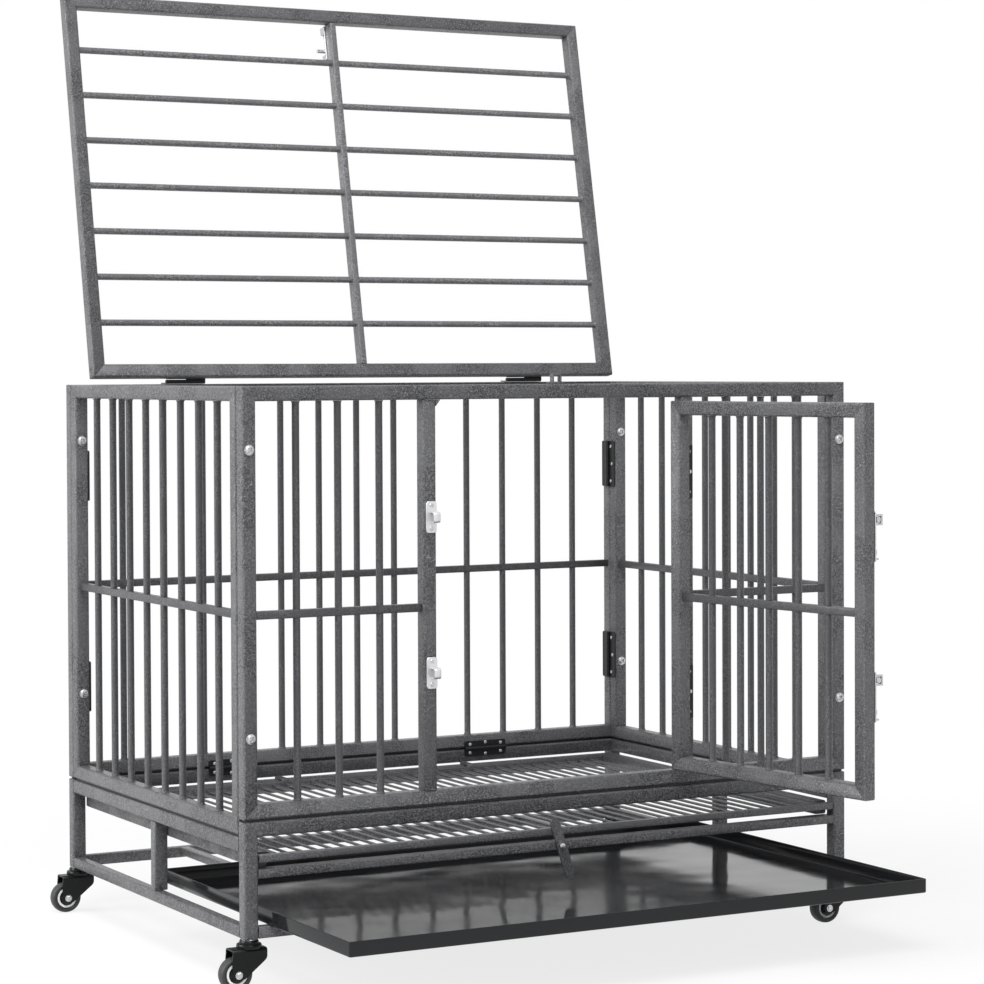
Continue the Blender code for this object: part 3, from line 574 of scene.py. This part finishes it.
frontPanel = dict(bars=3, face=-0.3175, posts=(-0.2045, 0.2075), postGap=0.0201,
                  heights=(0.2443, 0.7724))
bead = dict(reach=0.0075, radius=0.0010, sunk=0.0004, rise=0.0203)
gusset = dict(outline=[(0.0065, 0), (0, -0.0085), (0, 0)], back=0.0075, thickness=0.0032)
face, posts, gap = frontPanel["face"], frontPanel["posts"], frontPanel["postGap"]
parts = panelFrame(-endX, endX, face, bottom, top)
for x in posts:
    parts.append(squareTube((x, face, bottom + gap), (x, face, top - gap), (1, 0, 0)))
for x in posts:
    for z in (top - bead["rise"], bottom + bead["rise"]):  # the bead run along each joint
        y = -endY + bead["sunk"]
        parts.append(roundBar((x - bead["reach"], y, z), (x + bead["reach"], y, z),
                              bead["radius"], 0, 10))
# The small web welded into the corner over the latch post.
parts.append(plate(gusset["outline"], (posts[0] + half, face - gusset["back"], top - gap),
                   (1, 0, 0), (0, 0, 1), gusset["thickness"]))
addPiece("frontPanelTubes", parts, hammertone, "cage", ["front_frame"])
for word, x0, x1 in (("left", -inX, posts[0] - half), ("right", posts[1] + half, inX)):
    bars = grille(x0, x1, frontPanel["bars"], face, frontPanel["heights"])
    addPiece("frontBars" + word.capitalize(), bars, hammertoneBarsShaded, "cage",
             ["front_grille_" + word])

# A black strip set back in the gap under each panel: painted shade for the dark seam line between
# the panel and the stand.
seamShade = dict(height=0.0026, width=0.013, corner=0.0004, inset=0.003, drop=0.0014, sideReach=0.303)
reachX, reachY, x = endX - seamShade["inset"], seamShade["sideReach"], sidePanel["centreX"]
frontZ, sideZ = bottom - seamShade["drop"], sideBottom - seamShade["drop"]
for name, reach, centre, height, along in (
    ("Front", reachX, face, frontZ, "x"), ("Back", reachX, -face, sideZ, "x"),
    ("Left", reachY, -x, sideZ, "y"), ("Right", reachY, x, sideZ, "y"),
):
    strip = levelTube(reach, centre, height, along, seamShade["height"], seamShade["width"], seamShade["corner"])
    addPiece("panelSeamShade" + name, [strip], hubNylon, "cage")
print("cage panels done")


# Four bolts through the front corners and four through the rear ones, each on a washer.
cornerBolt = dict(radius=0.006, height=0.0034, recess=0.0022, sunk=0.0006, rises=(0.1065, 0.485),
                  washer=[(0.001, 0), (0.0068, 0), (0.0068, 0.0005), (0.0055, 0.0008),
                          (0.001, 0.0008)])
heads = []
for rise in cornerBolt["rises"]:
    for side in (-1, 1):
        for x, y in ((side * (endX - half), -endY),
                     (side * sidePanel["centreX"], sidePanel["endY"] - tube)):
            z = bottom + rise
            heads.append(turned(cornerBolt["washer"], (x, y, z), (0, -1, 0)))
            heads.append(dome((x, y - cornerBolt["sunk"], z), (0, -1, 0), cornerBolt["radius"],
                              cornerBolt["height"], cornerBolt["recess"]))
addPiece("cornerBoltHeads", heads, zincPlate, "cage")


stand = dict(
    bottom=0.067, top=0.221, sideTop=0.200, slotRail=0.152, slotRailHeight=0.012,
    footRail=0.016, footWidth=0.015, guideX=0.298, guideHeight=0.077, guide=0.012,
    slotGap=0.0001, sideGap=0.0002, footGap=0.0003, guideGap=0.0001,
)
midPost = dict(width=0.016, y=-0.0075, foot=0.0001, headGap=0.0201)
footZ = stand["bottom"] + stand["footRail"] / 2
footEndX, footEndY = endX - stand["footWidth"] / 2, endY - stand["footWidth"] / 2


def portal(y, height):
    # Two legs and the rail over them, mitred where they meet.
    x, railZ = endX - half, height - half
    legs = [squareTube((side * x, y, stand["bottom"]), (side * x, y, railZ), (-side, 0, 0),
                       cuts=(0, -1)) for side in (-1, 1)]
    return legs + [squareTube((-x, y, railZ), (x, y, railZ), (0, 0, -1), cuts=(1, -1))]


slotRail = levelTube(inX - stand["slotGap"], face, stand["slotRail"], "x",
                     stand["slotRailHeight"], tube)
addPiece("standFront", portal(face, stand["top"]) + [slotRail], hammertone, "cage", ["base_front"])
addPiece("standBack", portal(-face, stand["sideTop"]), hammertone, "cage", ["base_back"])

reach = inY - stand["sideGap"]
for word, side in (("left", -1), ("right", 1)):
    x = side * (endX - half)
    parts = [
        levelTube(reach, x, stand["sideTop"] - half, "y"),
        levelTube(reach, side * footEndX, footZ, "y", stand["footRail"], stand["footWidth"]),
        squareTube((x, midPost["y"], stand["bottom"] + stand["footRail"] + midPost["foot"]),
                   (x, midPost["y"], stand["sideTop"] - midPost["headGap"]), (0, 1, 0),
                   midPost["width"], tube),
    ]
    addPiece("standSide" + word.capitalize(), parts, hammertone, "cage", ["base_" + word])

parts = []
reachX = inX - stand["footGap"]
reachY = endY - stand["footWidth"] - stand["guideGap"]
for side in (-1, 1):
    parts.append(levelTube(reachX, side * footEndY, footZ, "x", stand["footRail"],
                           stand["footWidth"]))
    parts.append(levelTube(reachY, side * stand["guideX"], stand["guideHeight"], "y",
                           stand["guide"], stand["footWidth"]))
addPiece("standFeet", parts, hammertone, "cage", ["base_feet"])

ledge = dict(height=0.168, inner=0.4597, backY=0.2972, gap=0.0003)
x, z, reach = ledge["inner"] - half, ledge["height"], inY - ledge["gap"]
parts = [squareTube((side * x, -reach, z), (side * x, reach - half, z), (-side, 0, 0),
                    cuts=(0, -1)) for side in (-1, 1)]
parts.append(squareTube((-x, ledge["backY"], z), (x, ledge["backY"], z), (0, -1, 0), cuts=(1, -1)))
addPiece("gridLedge", parts, hammertone, "cage", ["ledge"])
print("stand done")


wireFloor = dict(
    wires=38, wire=0.004, wireWeld=0.0007, wireSunk=0.0002, rail=0.010, railCorner=0.0012,
    railGap=0.0001, height=0.172, front=-0.3273, rear=0.2869, inner=0.4382, frontReach=0.4585,
)
# Each lug bends up off the rear rail and back over the ledge: (behind the rail, rise).
lug = dict(places=(-0.145, 0.181), underside=0.1783, width=0.012, sheet=0.003,
           path=[(-0.0095, -0.0016), (-0.0090, -0.0005), (-0.0080, 0), (0.0160, 0)])
g = wireFloor
z = g["height"]
low, high = g["front"] + g["rail"], g["rear"] - g["rail"]


def gridRail(start, end):
    return squareTube(start, end, (0, 0, 1), g["rail"], corner=g["railCorner"])


y0, y1 = g["front"] + g["rail"] / 2, g["rear"] - g["rail"] / 2
parts = [gridRail((-g["frontReach"], y0, z), (g["frontReach"], y0, z)),
         gridRail((-g["inner"], y1, z), (g["inner"], y1, z))]
for side in (-1, 1):
    x = side * (g["inner"] - g["rail"] / 2)
    parts.append(gridRail((x, low + g["railGap"], z), (x, high - g["railGap"], z)))
for x in spread(-g["inner"] + g["rail"], g["inner"] - g["rail"], g["wires"]):
    parts.append(roundBar((x, low - g["wireSunk"], z), (x, high + g["wireSunk"], z),
                          g["wire"] / 2, g["wireWeld"], sides=12))
lift = lug["underside"] + lug["sheet"] / 2
for x in lug["places"]:
    rise = [(x, g["rear"] + lug["path"][0][0], z)]
    rise += [(x, g["rear"] + back, lift + up) for back, up in lug["path"]]
    parts.append(strap(rise, (1, 0, 0), lug["width"], lug["sheet"]))
addPiece("wireFloorGrid", parts, hammertoneWire, "cage", ["floor_grid"])
print("wire floor done")


trayPan = dict(
    halfLength=0.445, front=-0.5685, rear=0.0395, base=0.0833, rim=0.020, sheet=0.0012,
    bend=0.0022, hem=0.0009, undersideInset=0.04, floorInset=0.012, foldDepth=0.0075,
    foldStep=0.0005, corner=0.0016, cornerDrop=0.3, leastCorner=0.0006, floorCorner=0.001,
)
t = trayPan
middleY = (t["front"] + t["rear"]) / 2
halfDepth = (t["rear"] - t["front"]) / 2
# Rings of the pan's outline drawn in by an inset, at a height: up the outer wall, over the
# folded edge, and down the inner wall to the floor.
bend = np.linspace(0, math.pi / 2, 6)
fold = np.linspace(0, math.pi, 9)
outer = [(t["bend"] * (1 - math.sin(a)), t["bend"] * (1 - math.cos(a))) for a in bend]
hem = [(t["hem"] - t["hem"] * math.cos(a), t["rim"] - t["hem"] + t["hem"] * math.sin(a))
       for a in fold]
inner = [(2 * t["hem"], t["rim"] - t["foldDepth"]),
         (t["sheet"], t["rim"] - t["foldDepth"] - t["foldStep"])]
lower = [(t["sheet"] + t["bend"] * (1 - math.cos(a)), t["sheet"] + t["bend"] * (1 - math.sin(a)))
         for a in bend]
profile = [(t["undersideInset"], 0.0)] + outer + hem + inner + lower
profile += [(t["floorInset"], t["sheet"])]
rings = []
for inset, height in profile:
    radius = max(t["corner"] - inset * t["cornerDrop"], t["leastCorner"])
    radius = t["floorCorner"] if inset > 2 * t["bend"] else radius
    outline = roundedOutline(2 * (t["halfLength"] - inset), 2 * (halfDepth - inset), radius, 3)
    level = np.full(len(outline), t["base"] + height)
    rings.append(np.column_stack([outline[:, 0], outline[:, 1] + middleY, level]))
addPiece("trayPan", [skin(rings)], blackSheet, "tray", ["tray"], sharp=50)
print("tray done")


# The lid is drawn lying level about its hinge axis, then swung up by its turn.
lid = dict(
    turn=-101.3, about="x", axis=(0, 0.3041, 0.79625), halfLength=0.4525, front=-0.5994,
    rear=-0.0034, level=-0.01355, bars=7, pitch=0.0709, spine=0.010, spineWidth=0.019,
    spineCorner=0.0014, spineGap=0.0202, spineRise=0.0005,
)
x, z = lid["halfLength"] - half, lid["level"]
y0, y1 = lid["front"] + half, lid["rear"] - half
corners = [(-x, y0, z), (x, y0, z), (x, y1, z), (-x, y1, z)]
addPiece("lidTubes", swung(mitredFrame(corners), lid), hammertone, "lid", ["lid_frame"])
middle = (lid["front"] + lid["rear"]) / 2
reach = lid["halfLength"] - tube
steps = np.arange(lid["bars"]) - (lid["bars"] - 1) / 2
bars = [roundBar((-reach, y, z), (reach, y, z), crate["bar"] / 2)
        for y in middle + steps * lid["pitch"]]
bars.append(squareTube((0, lid["front"] + lid["spineGap"], z + lid["spineRise"]),
                       (0, lid["rear"] - lid["spineGap"], z + lid["spineRise"]),
                       (1, 0, 0), lid["spine"], lid["spineWidth"], corner=lid["spineCorner"]))
addPiece("lidBars", swung(bars, lid), hammertoneLidLit, "lid", ["lid_bars"])
# The drain hole near the foot of the left stile: a cup let into the tube, in black plate as painted
# shade for the hole's dark inside.
drainHole = dict(fromRear=0.014, cup=[
    (0.0006, -0.0010), (0.0021, -0.0010), (0.0025, 0.00025), (0.0021, 0.0003),
    (0.0016, -0.0004), (0.0006, -0.0006),
])
hole = turned(drainHole["cup"], (-lid["halfLength"], lid["rear"] - drainHole["fromRear"], z),
              (-1, 0, 0), 24)
addPiece("lidDrainHole", swung([hole], lid), blackPlate, "lid")
print("lid done")


# The door is drawn closed about its hinge axis, then swung open by its turn.
door = dict(
    turn=98.8, about="z", axis=(0.196, -0.33105, 0), left=-0.387, right=-0.0015,
    centre=0.01355, low=0.2462, high=0.7677, bars=5, barGap=0.0203,
)
tubes = panelFrame(door["left"], door["right"], door["centre"], door["low"], door["high"])
addPiece("doorTubes", swung(tubes, door), hammertone, "door", ["door_frame"])
bars = grille(door["left"] + tube, door["right"] - tube, door["bars"],
              door["centre"], (door["low"] + door["barGap"], door["high"] - door["barGap"]))
addPiece("doorBars", swung(bars, door), hammertoneBarsShaded, "door", ["door_grille"])
print("door done")


hinge = dict(
    knuckle=0.0032, pin=0.00325, leaf=0.0018, length=0.075, rolls=5, rollGap=0.0002,
    rivet=0.0027, rivetHeight=0.0014,
)
rollLength = hinge["length"] / hinge["rolls"]
rollSpans = [(-hinge["length"] / 2 + k * rollLength + hinge["rollGap"],
              -hinge["length"] / 2 + (k + 1) * rollLength - hinge["rollGap"])
             for k in range(hinge["rolls"])]


def knuckles(centre, axis):
    # Rolled knuckles on the hinge's axis, each with its edges eased.
    radius, ease = hinge["knuckle"], 0.0004
    return [turned([(radius - ease, low), (radius, low + ease), (radius, high - ease),
                    (radius - ease, high)], centre, axis, 24) for low, high in rollSpans]


def rivetRow(middle, step, aways, shifts, out):
    # Three rivets at middle + step * k + away * shift; the outer two have their own shift.
    return [dome(np.asarray(middle) + np.multiply(step, k) + np.multiply(away, shifts[abs(k)]),
                 out, hinge["rivet"], hinge["rivetHeight"], sides=20)
            for k in (-1, 0, 1) for away in aways]


# Fold hinges at the rear corners. Its thickness runs backwards, so the leaf has a low rim.
foldHinge = dict(width=0.038, corner=0.003, sunk=0.0003, pitch=0.0285, shifts=(0.0122, 0.0085),
                 rises=(("lower", 0.1165), ("upper", 0.4325)))
rivetHeads = []
leaf = roundedOutline(foldHinge["width"], hinge["length"], foldHinge["corner"])
for sideWord, side in (("left", -1), ("right", 1)):
    for word, rise in foldHinge["rises"]:
        z = bottom + rise
        x = side * (inX - foldHinge["sunk"])
        parts = [plate(leaf, (x, inY, z), (0, side, 0), (0, 0, 1), -hinge["leaf"])]
        parts += knuckles((x - side * hinge["pin"], inY, z), (0, 0, 1))
        addPiece("foldHinge" + sideWord.capitalize() + word.capitalize(), parts, blackPlate,
                 "cage", [f"corner_hinge_{sideWord}_{word}"])
        rivetHeads += rivetRow((x - side * hinge["leaf"], inY, z), (0, 0, foldHinge["pitch"]),
                               [(0, -1, 0)], foldHinge["shifts"], (-side, 0, 0))

# Hinges between the back panel and the stand.
standHinge = dict(width=0.024, corner=0.0028, height=0.2015, sunk=0.0003, pitch=0.028,
                  shifts=(0.0092, 0.0068), places=(("left", -0.223), ("right", 0.223)))
leaf = roundedOutline(hinge["length"], standHinge["width"], standHinge["corner"])
y, z = inY - standHinge["sunk"], standHinge["height"]
for word, x in standHinge["places"]:
    parts = [plate(leaf, (x, y, z), (1, 0, 0), (0, 0, 1), hinge["leaf"])]
    parts += knuckles((x, y - hinge["pin"], z), (1, 0, 0))
    addPiece("standHinge" + word.capitalize(), parts, blackPlate, "cage",
             ["base_hinge_" + word])
    rivetHeads += rivetRow((x, y - hinge["leaf"], z), (standHinge["pitch"], 0, 0),
                           [(0, 0, -1), (0, 0, 1)], standHinge["shifts"], (0, -1, 0))
print("fold hinges done")

# Door and lid hinges: one row of rivets on each side of the pin, on the leaf's face.
swingHinge = dict(shifts=(0.0142, 0.0122), edge=0.0003, doorPitch=0.0285, lidPitch=0.023,
                  doorRises=(("Lower", 0.1305), ("Upper", 0.443)),
                  lidPlaces=(("Left", -0.296), ("Right", 0.296)))
leafFace, shifts = hinge["pin"] - hinge["leaf"], swingHinge["shifts"]
doorRivets, lidRivets = [], []


def addLeaves(owner, word, fixed):
    # The two halves of a hinge, the fixed one on the cage and the other on its owner.
    for part, body in ((fixed, "cage"), (owner, owner)):
        addSoftened(f"{owner}Hinge{word}{part.capitalize()}Leaf",
                    f"{owner}_hinge_{word.lower()}_{part}", blackPlate, body,
                    swingHinge["edge"])


(pinX, pinY), step, out = door["axis"][:2], (0, 0, swingHinge["doorPitch"]), (0, -1, 0)
for word, rise in swingHinge["doorRises"]:
    addLeaves("door", word, "post")
    z = bottom + rise
    rivetHeads += rivetRow((pinX, pinY + leafFace, z), step, [(1, 0, 0)], shifts, out)
    doorRivets += rivetRow((0, leafFace, z), step, [(-1, 0, 0)], shifts, out)
addPiece("doorHingeRivets", swung(doorRivets, door), zincPlate, "door")
(pinY, pinZ), step, out = lid["axis"][1:], (swingHinge["lidPitch"], 0, 0), (0, 0, 1)
for word, place in swingHinge["lidPlaces"]:
    addLeaves("lid", word, "rail")
    rivetHeads += rivetRow((place, pinY, pinZ - leafFace), step, [(0, 1, 0)], shifts, out)
    lidRivets += rivetRow((place, 0, -leafFace), step, [(0, -1, 0)], shifts, out)
addPiece("lidHingeRivets", swung(lidRivets, lid), zincPlate, "lid")
addPiece("hingeRivets", rivetHeads, zincPlate, "cage")
print("hinges done")


keeper = dict(
    left=-0.211, width=0.016, height=0.043, back=-0.3278, sheet=0.002, corner=0.0042, edge=0.0005,
    pocketWidth=0.010, pocketHalf=0.0066, pocketOut=0.0128, pocketBend=0.0032, pocketSunk=0.0012,
    pocketSheet=0.0016, pocketEdge=0.0001, rises=(("lower", 0.179), ("upper", 0.390)),
    rivetRise=0.0155, rivetSunk=0.0002, rivet=[
        (0.0005, 0), (0.0030, 0), (0.0030, 0.0005), (0.0024, 0.0009), (0.0012, 0.0007),
        (0.0005, 0.0005),
    ],
)
k = keeper
x = k["left"] + k["width"] / 2
pocketX = k["left"] + k["width"] - k["pocketWidth"] / 2 - k["pocketEdge"]
outline = roundedOutline(k["width"], k["height"], k["corner"], 6)
front, root = k["back"] - k["pocketOut"], k["back"] - k["pocketSunk"]
r, reach = k["pocketBend"], k["pocketHalf"]
keeperRivets = []
for word, rise in k["rises"]:
    z = bottom + rise
    parts = [plate(outline, (x, k["back"], z), (1, 0, 0), (0, 0, 1), k["sheet"], k["edge"])]
    # The pocket is pressed up out of the plate: up, round a bend, across, and back down.
    upper = [(front + r - r * math.sin(a), z + reach - r + r * math.cos(a))
             for a in np.linspace(0, math.pi / 2, 7)]
    pocket = [(root, z + reach)] + upper
    pocket += [(y, 2 * z - above) for y, above in upper[::-1]] + [(root, z - reach)]
    parts.append(strap([(pocketX, y, height) for y, height in pocket], (1, 0, 0),
                       k["pocketWidth"], k["pocketSheet"]))
    for side in (-1, 1):
        place = (x, k["back"] - k["sheet"] + k["rivetSunk"], z + side * k["rivetRise"])
        keeperRivets.append(turned(k["rivet"], place, (0, -1, 0), 24))
    addPiece("doorKeeper" + word.capitalize(), parts, keeperPlate, "cage",
             [f"latch_{word}_keeper"])
    addSoftened("doorLatchHousing" + word.capitalize(), f"latch_{word}_housing", zincPlate,
                "door", k["edge"])
    addSoftened("doorLatchBolt" + word.capitalize(), f"latch_{word}_bolt", zincPlate,
                f"bolt_{word}", k["edge"])
addPiece("doorKeeperRivets", keeperRivets, zincPlate, "cage")

addSoftened("lidLatchHousing", "lid_latch_housing", zincPlate, "lid", 0.0006)
addSoftened("lidLatchBolt", "lid_latch_bolt", zincPlate, "lid_bolt", 0.0008)
addSoftened("lidLatchLoop", "lid_latch_loop", hammertone, "cage", 0.0005)
addSoftened("swingRetainer", "retainer", hammertoneWire, "retainer", 0.0005)
retainerPin = dict(x=-0.002, y=-0.332, z=0.152, radius=0.0043, height=0.0016)
p = retainerPin
head = dome((p["x"], p["y"], p["z"]), (0, -1, 0), p["radius"], p["height"], sides=24)
addPiece("retainerRivet", [head], zincPlate, "retainer")
print("latches done")


wheel = dict(radius=0.0225, half=0.0085, trail=0.020, crown=0.0011, crownPower=2.4,
             treadShare=0.86, ringInner=0.0117, ringOuter=0.0150, ringEdge=0.0004, hubHalf=0.0095)
fork = dict(
    outside=0.01275, sheet=0.0025, bend=0.0032, behind=-0.028, ahead=0.021, crown=0.056,
    archDrop=0.0075, endRadius=0.0078, axle=0.0034, axleSunk=0.0006, washerGap=0.0002,
    cheekSunk=0.0001, cornerRadii=[0.001, 0.004, 0.006, 0.0070, 0.0062, 0.0065, 0.001],
)
f, r, w = fork, wheel["radius"], wheel["half"]
end, crown = f["endRadius"], f["crown"]
# The cheek's corners from above the wheel, down round the axle and up ahead of it.
cheek = roundedCorners([
    (f["behind"], crown - 0.006), (f["behind"] - 0.001, crown - 0.017),
    (-wheel["trail"] - end, r + 0.002), (-wheel["trail"] - end, r - end),
    (-wheel["trail"] + end * 0.9, r - end),
    (f["ahead"], crown - 0.0145), (f["ahead"], crown - 0.006),
], f["cornerRadii"])
line, underCrown = f["outside"] - f["sheet"] / 2, crown - f["sheet"] / 2
archSide = [(-line + f["bend"] - f["bend"] * math.cos(a),
             underCrown - f["bend"] + f["bend"] * math.sin(a))
            for a in np.linspace(0, math.pi / 2, 6)]
archSide.insert(0, (-line, crown - f["archDrop"]))
arch = archSide + [(-y, z) for y, z in archSide[::-1]]
# The bearing's dish and the cup on it, as radius and height over the fork's crown.
bearing = [(radius, crown + height) for radius, height in (
    (0.002, -0.001), (0.0160, -0.001), (0.0170, 0.0006), (0.0170, 0.0030), (0.0163, 0.0047),
    (0.0148, 0.0055), (0.0130, 0.0057), (0.0129, 0.0085), (0.0118, 0.0099), (0.0090, 0.0104),
    (0.002, 0.0104),
)]
axleHalf = f["outside"] - f["axleSunk"]
axle = [(0.0005, -axleHalf), (f["axle"], -axleHalf), (f["axle"], axleHalf), (0.0005, axleHalf)]
shoulder = [(wheel["ringOuter"], w - 0.0020), (0.0160, w - 0.0016), (0.0168, w - 0.0004),
            (0.0180, w), (0.0198, w), (0.0210, w - 0.0006)]
tread = [(r - wheel["crown"] * abs(s) ** wheel["crownPower"], s * w * wheel["treadShare"])
         for s in np.linspace(-1, 1, 13)]
tyre = [(radius, -height) for radius, height in shoulder] + tread + shoulder[::-1]
inside, outside, rim = wheel["ringInner"], wheel["ringOuter"], wheel["ringEdge"]
ring = [(inside, 0.001), (inside, w - 0.0016), (inside + rim, w - 0.0012),
        (outside - rim, w - 0.0012), (outside, w - 0.0016), (outside, 0.001)]
boss = [(0.0116, w - 0.0016), (0.0080, w - 0.0022), (0.0078, 0.0088), (0.0070, wheel["hubHalf"]),
        (0.0039, wheel["hubHalf"])]
hub = [(radius, -height) for radius, height in boss[::-1]] + boss
stemWasher = [(0.004, 0.0647), (0.0098, 0.0647), (0.0102, 0.0651), (0.0102, 0.0664),
              (0.0098, 0.0668), (0.004, 0.0668)]
out = f["outside"] + f["washerGap"]
axleWasher = [(0.0008, out), (0.0052, out), (0.0052, out + 0.0007), (0.0046, out + 0.0009),
              (0.0008, out + 0.0009)]
axleHead = [(0.0008, out), (0.0042, out), (0.0042, out + 0.0027), (0.0037, out + 0.0032),
            (0.0008, out + 0.0032)]

for word in ("front_left", "front_right", "back_left", "back_right"):
    x = (endX - half) * (-1 if word.endswith("left") else 1)
    y = face if word.startswith("front") else -face
    tail = "".join(part.capitalize() for part in word.split("_"))
    hubAt = (x - wheel["trail"], y, r)
    parts = [
        plate(cheek, (x, y + off, 0), (1, 0, 0), (0, 0, 1), f["sheet"], 0.0005)
        for off in (-f["outside"] + f["cheekSunk"] + f["sheet"], f["outside"] - f["cheekSunk"])
    ]
    middleX = x + (f["ahead"] + f["behind"]) / 2
    parts.append(strap([(middleX, y + across, z) for across, z in arch], (1, 0, 0),
                       f["ahead"] - f["behind"], f["sheet"], 0.0006))
    parts.append(turned(bearing, (x, y, 0), (0, 0, 1), 48))
    parts.append(turned(axle, hubAt, (0, 1, 0), 20))
    addPiece("casterFork" + tail, parts, forkEnamel, "caster_" + word, [f"caster_{word}_fork"])
    addPiece("casterTyre" + tail, [turned(tyre, hubAt, (0, 1, 0), 64)], tyreRubber,
             "wheel_" + word, [f"caster_{word}_wheel"])
    rings = [turned(ring, hubAt, (0, side, 0), 48, True) for side in (-1, 1)]
    addPiece("casterRing" + tail, rings, ringPlastic, "wheel_" + word)
    addPiece("casterHub" + tail, [turned(hub, hubAt, (0, 1, 0), 48)], hubNylon, "wheel_" + word)
    # Bright pieces: the washer under the post, and the axle bolt's head and nut.
    bright = [turned(stemWasher, (x, y, 0), (0, 0, 1), 40)]
    for side in (-1, 1):
        bright.append(turned(axleWasher, hubAt, (0, side, 0), 32))
        bright.append(turned(axleHead, hubAt, (0, side, 0), 6))
    addPiece("casterBright" + tail, bright, zincPlate, "caster_" + word)
print("casters done")


studio = dict(
    floorSize=60, white="#ffffff", paper="#f2f2f2", ambient=0.28,
    floorShade=0.80, shadeFrom=0.8, shadeTo=1.7,
    lamps=(  # name, place, what it is aimed at, width, power
        ("leftSoftbox", (-4.2, 0.9, 2.1), (0, 0.1, 0.5), 2.6, 175),
        ("topSoftbox", (-1.3, -1.7, 4.0), (0, 0.1, 0.4), 2.8, 165),
        ("frontSoftbox", (-1.2, -4.6, 2.6), (0, 0, 0.5), 2.4, 34),
    ),
)


def seenPlainly(tree):
    # One where the camera, a mirror image or clear glass looks at the surface, else zero.
    path = addNode(tree, "LightPath").outputs
    seen = path["Is Camera Ray"]
    for kind in ("Is Glossy Ray", "Is Transmission Ray"):
        seen = addNode(tree, "Math", {0: seen, 1: path[kind]}, operation="MAXIMUM").outputs[0]
    return seen


def addFloor():
    # White paper under the crate, whose shade fades to plain white, so no horizon shows.
    size = studio["floorSize"] / 2
    mesh = bpy.data.meshes.new("studioFloor")
    corners = [(-size, -size, 0), (size, -size, 0), (size, size, 0), (-size, size, 0)]
    mesh.from_pydata(corners, [], [(0, 1, 2, 3)])
    floor = addObject("studioFloor", mesh)
    material, tree, place = startMaterial("studioPaper")
    paper = addNode(tree, "BsdfDiffuse", {"Color": linear(studio["paper"])})
    glow = addNode(tree, "Emission", {"Color": linear(studio["white"])})
    away = addNode(tree, "VectorMath", {0: place}, operation="LENGTH")
    white = addNode(tree, "MapRange", {
        "Value": away.outputs["Value"], "From Min": studio["shadeFrom"],
        "From Max": studio["shadeTo"], "To Min": studio["floorShade"],
    }, **eased)
    share = addNode(tree, "Math", {0: seenPlainly(tree), 1: white.outputs[0]}, operation="MULTIPLY")
    mix = addNode(tree, "MixShader", {0: share.outputs[0], 1: paper.outputs[0], 2: glow.outputs[0]})
    addNode(tree, "OutputMaterial", {"Surface": mix.outputs[0]})
    mesh.materials.append(material)


def addWorld():
    # Pure white where it is seen, and a soft fill from all sides on the crate.
    world = bpy.data.worlds.new("studio")
    bpy.context.scene.world = world
    world.use_nodes = True
    tree = world.node_tree
    tree.nodes.clear()
    strength = addNode(tree, "MapRange", {
        "Value": seenPlainly(tree), "To Min": studio["ambient"],
    })
    back = addNode(tree, "Background", {
        "Color": linear(studio["white"]), "Strength": strength.outputs[0],
    })
    addNode(tree, "OutputWorld", {"Surface": back.outputs[0]})


def addLamp(name, place, target, width, power):
    data = bpy.data.lights.new(name, "AREA")
    data.shape, data.size, data.energy = "SQUARE", width, power
    lamp = addObject(name, data)
    lamp.location = place
    away = mathutils.Vector(place) - mathutils.Vector(target)
    lamp.rotation_euler = away.to_track_quat("Z", "Y").to_euler()


addFloor()
addWorld()
for lampSettings in studio["lamps"]:
    addLamp(*lampSettings)

view = dict(place=(-1.9837, -3.6305, 0.8138), yaw=28.685, pitch=-1.275, roll=-0.243,
            lens=105.28, shift=-0.06)
cameraData = bpy.data.cameras.new("photographCamera")
cameraData.lens = view["lens"]
cameraData.shift_y = view["shift"]
cameraData.clip_end = 200
camera = addObject("photographCamera", cameraData)
yaw, pitch, roll = (math.radians(view[key]) for key in ("yaw", "pitch", "roll"))
ahead = np.array([math.sin(yaw), math.cos(yaw), 0]) * math.cos(pitch)
ahead[2] = math.sin(pitch)
level = np.array([math.cos(yaw), -math.sin(yaw), 0])
upright = np.cross(level, ahead)
across = level * math.cos(roll) + upright * math.sin(roll)
upright = np.cross(across, ahead)
turn = np.column_stack([across, upright, -ahead, view["place"]])
camera.matrix_world = mathutils.Matrix([*turn.tolist(), (0, 0, 0, 1)])
bpy.context.scene.camera = camera
bpy.context.scene.view_settings.view_transform = "Standard"

print("scene ready")
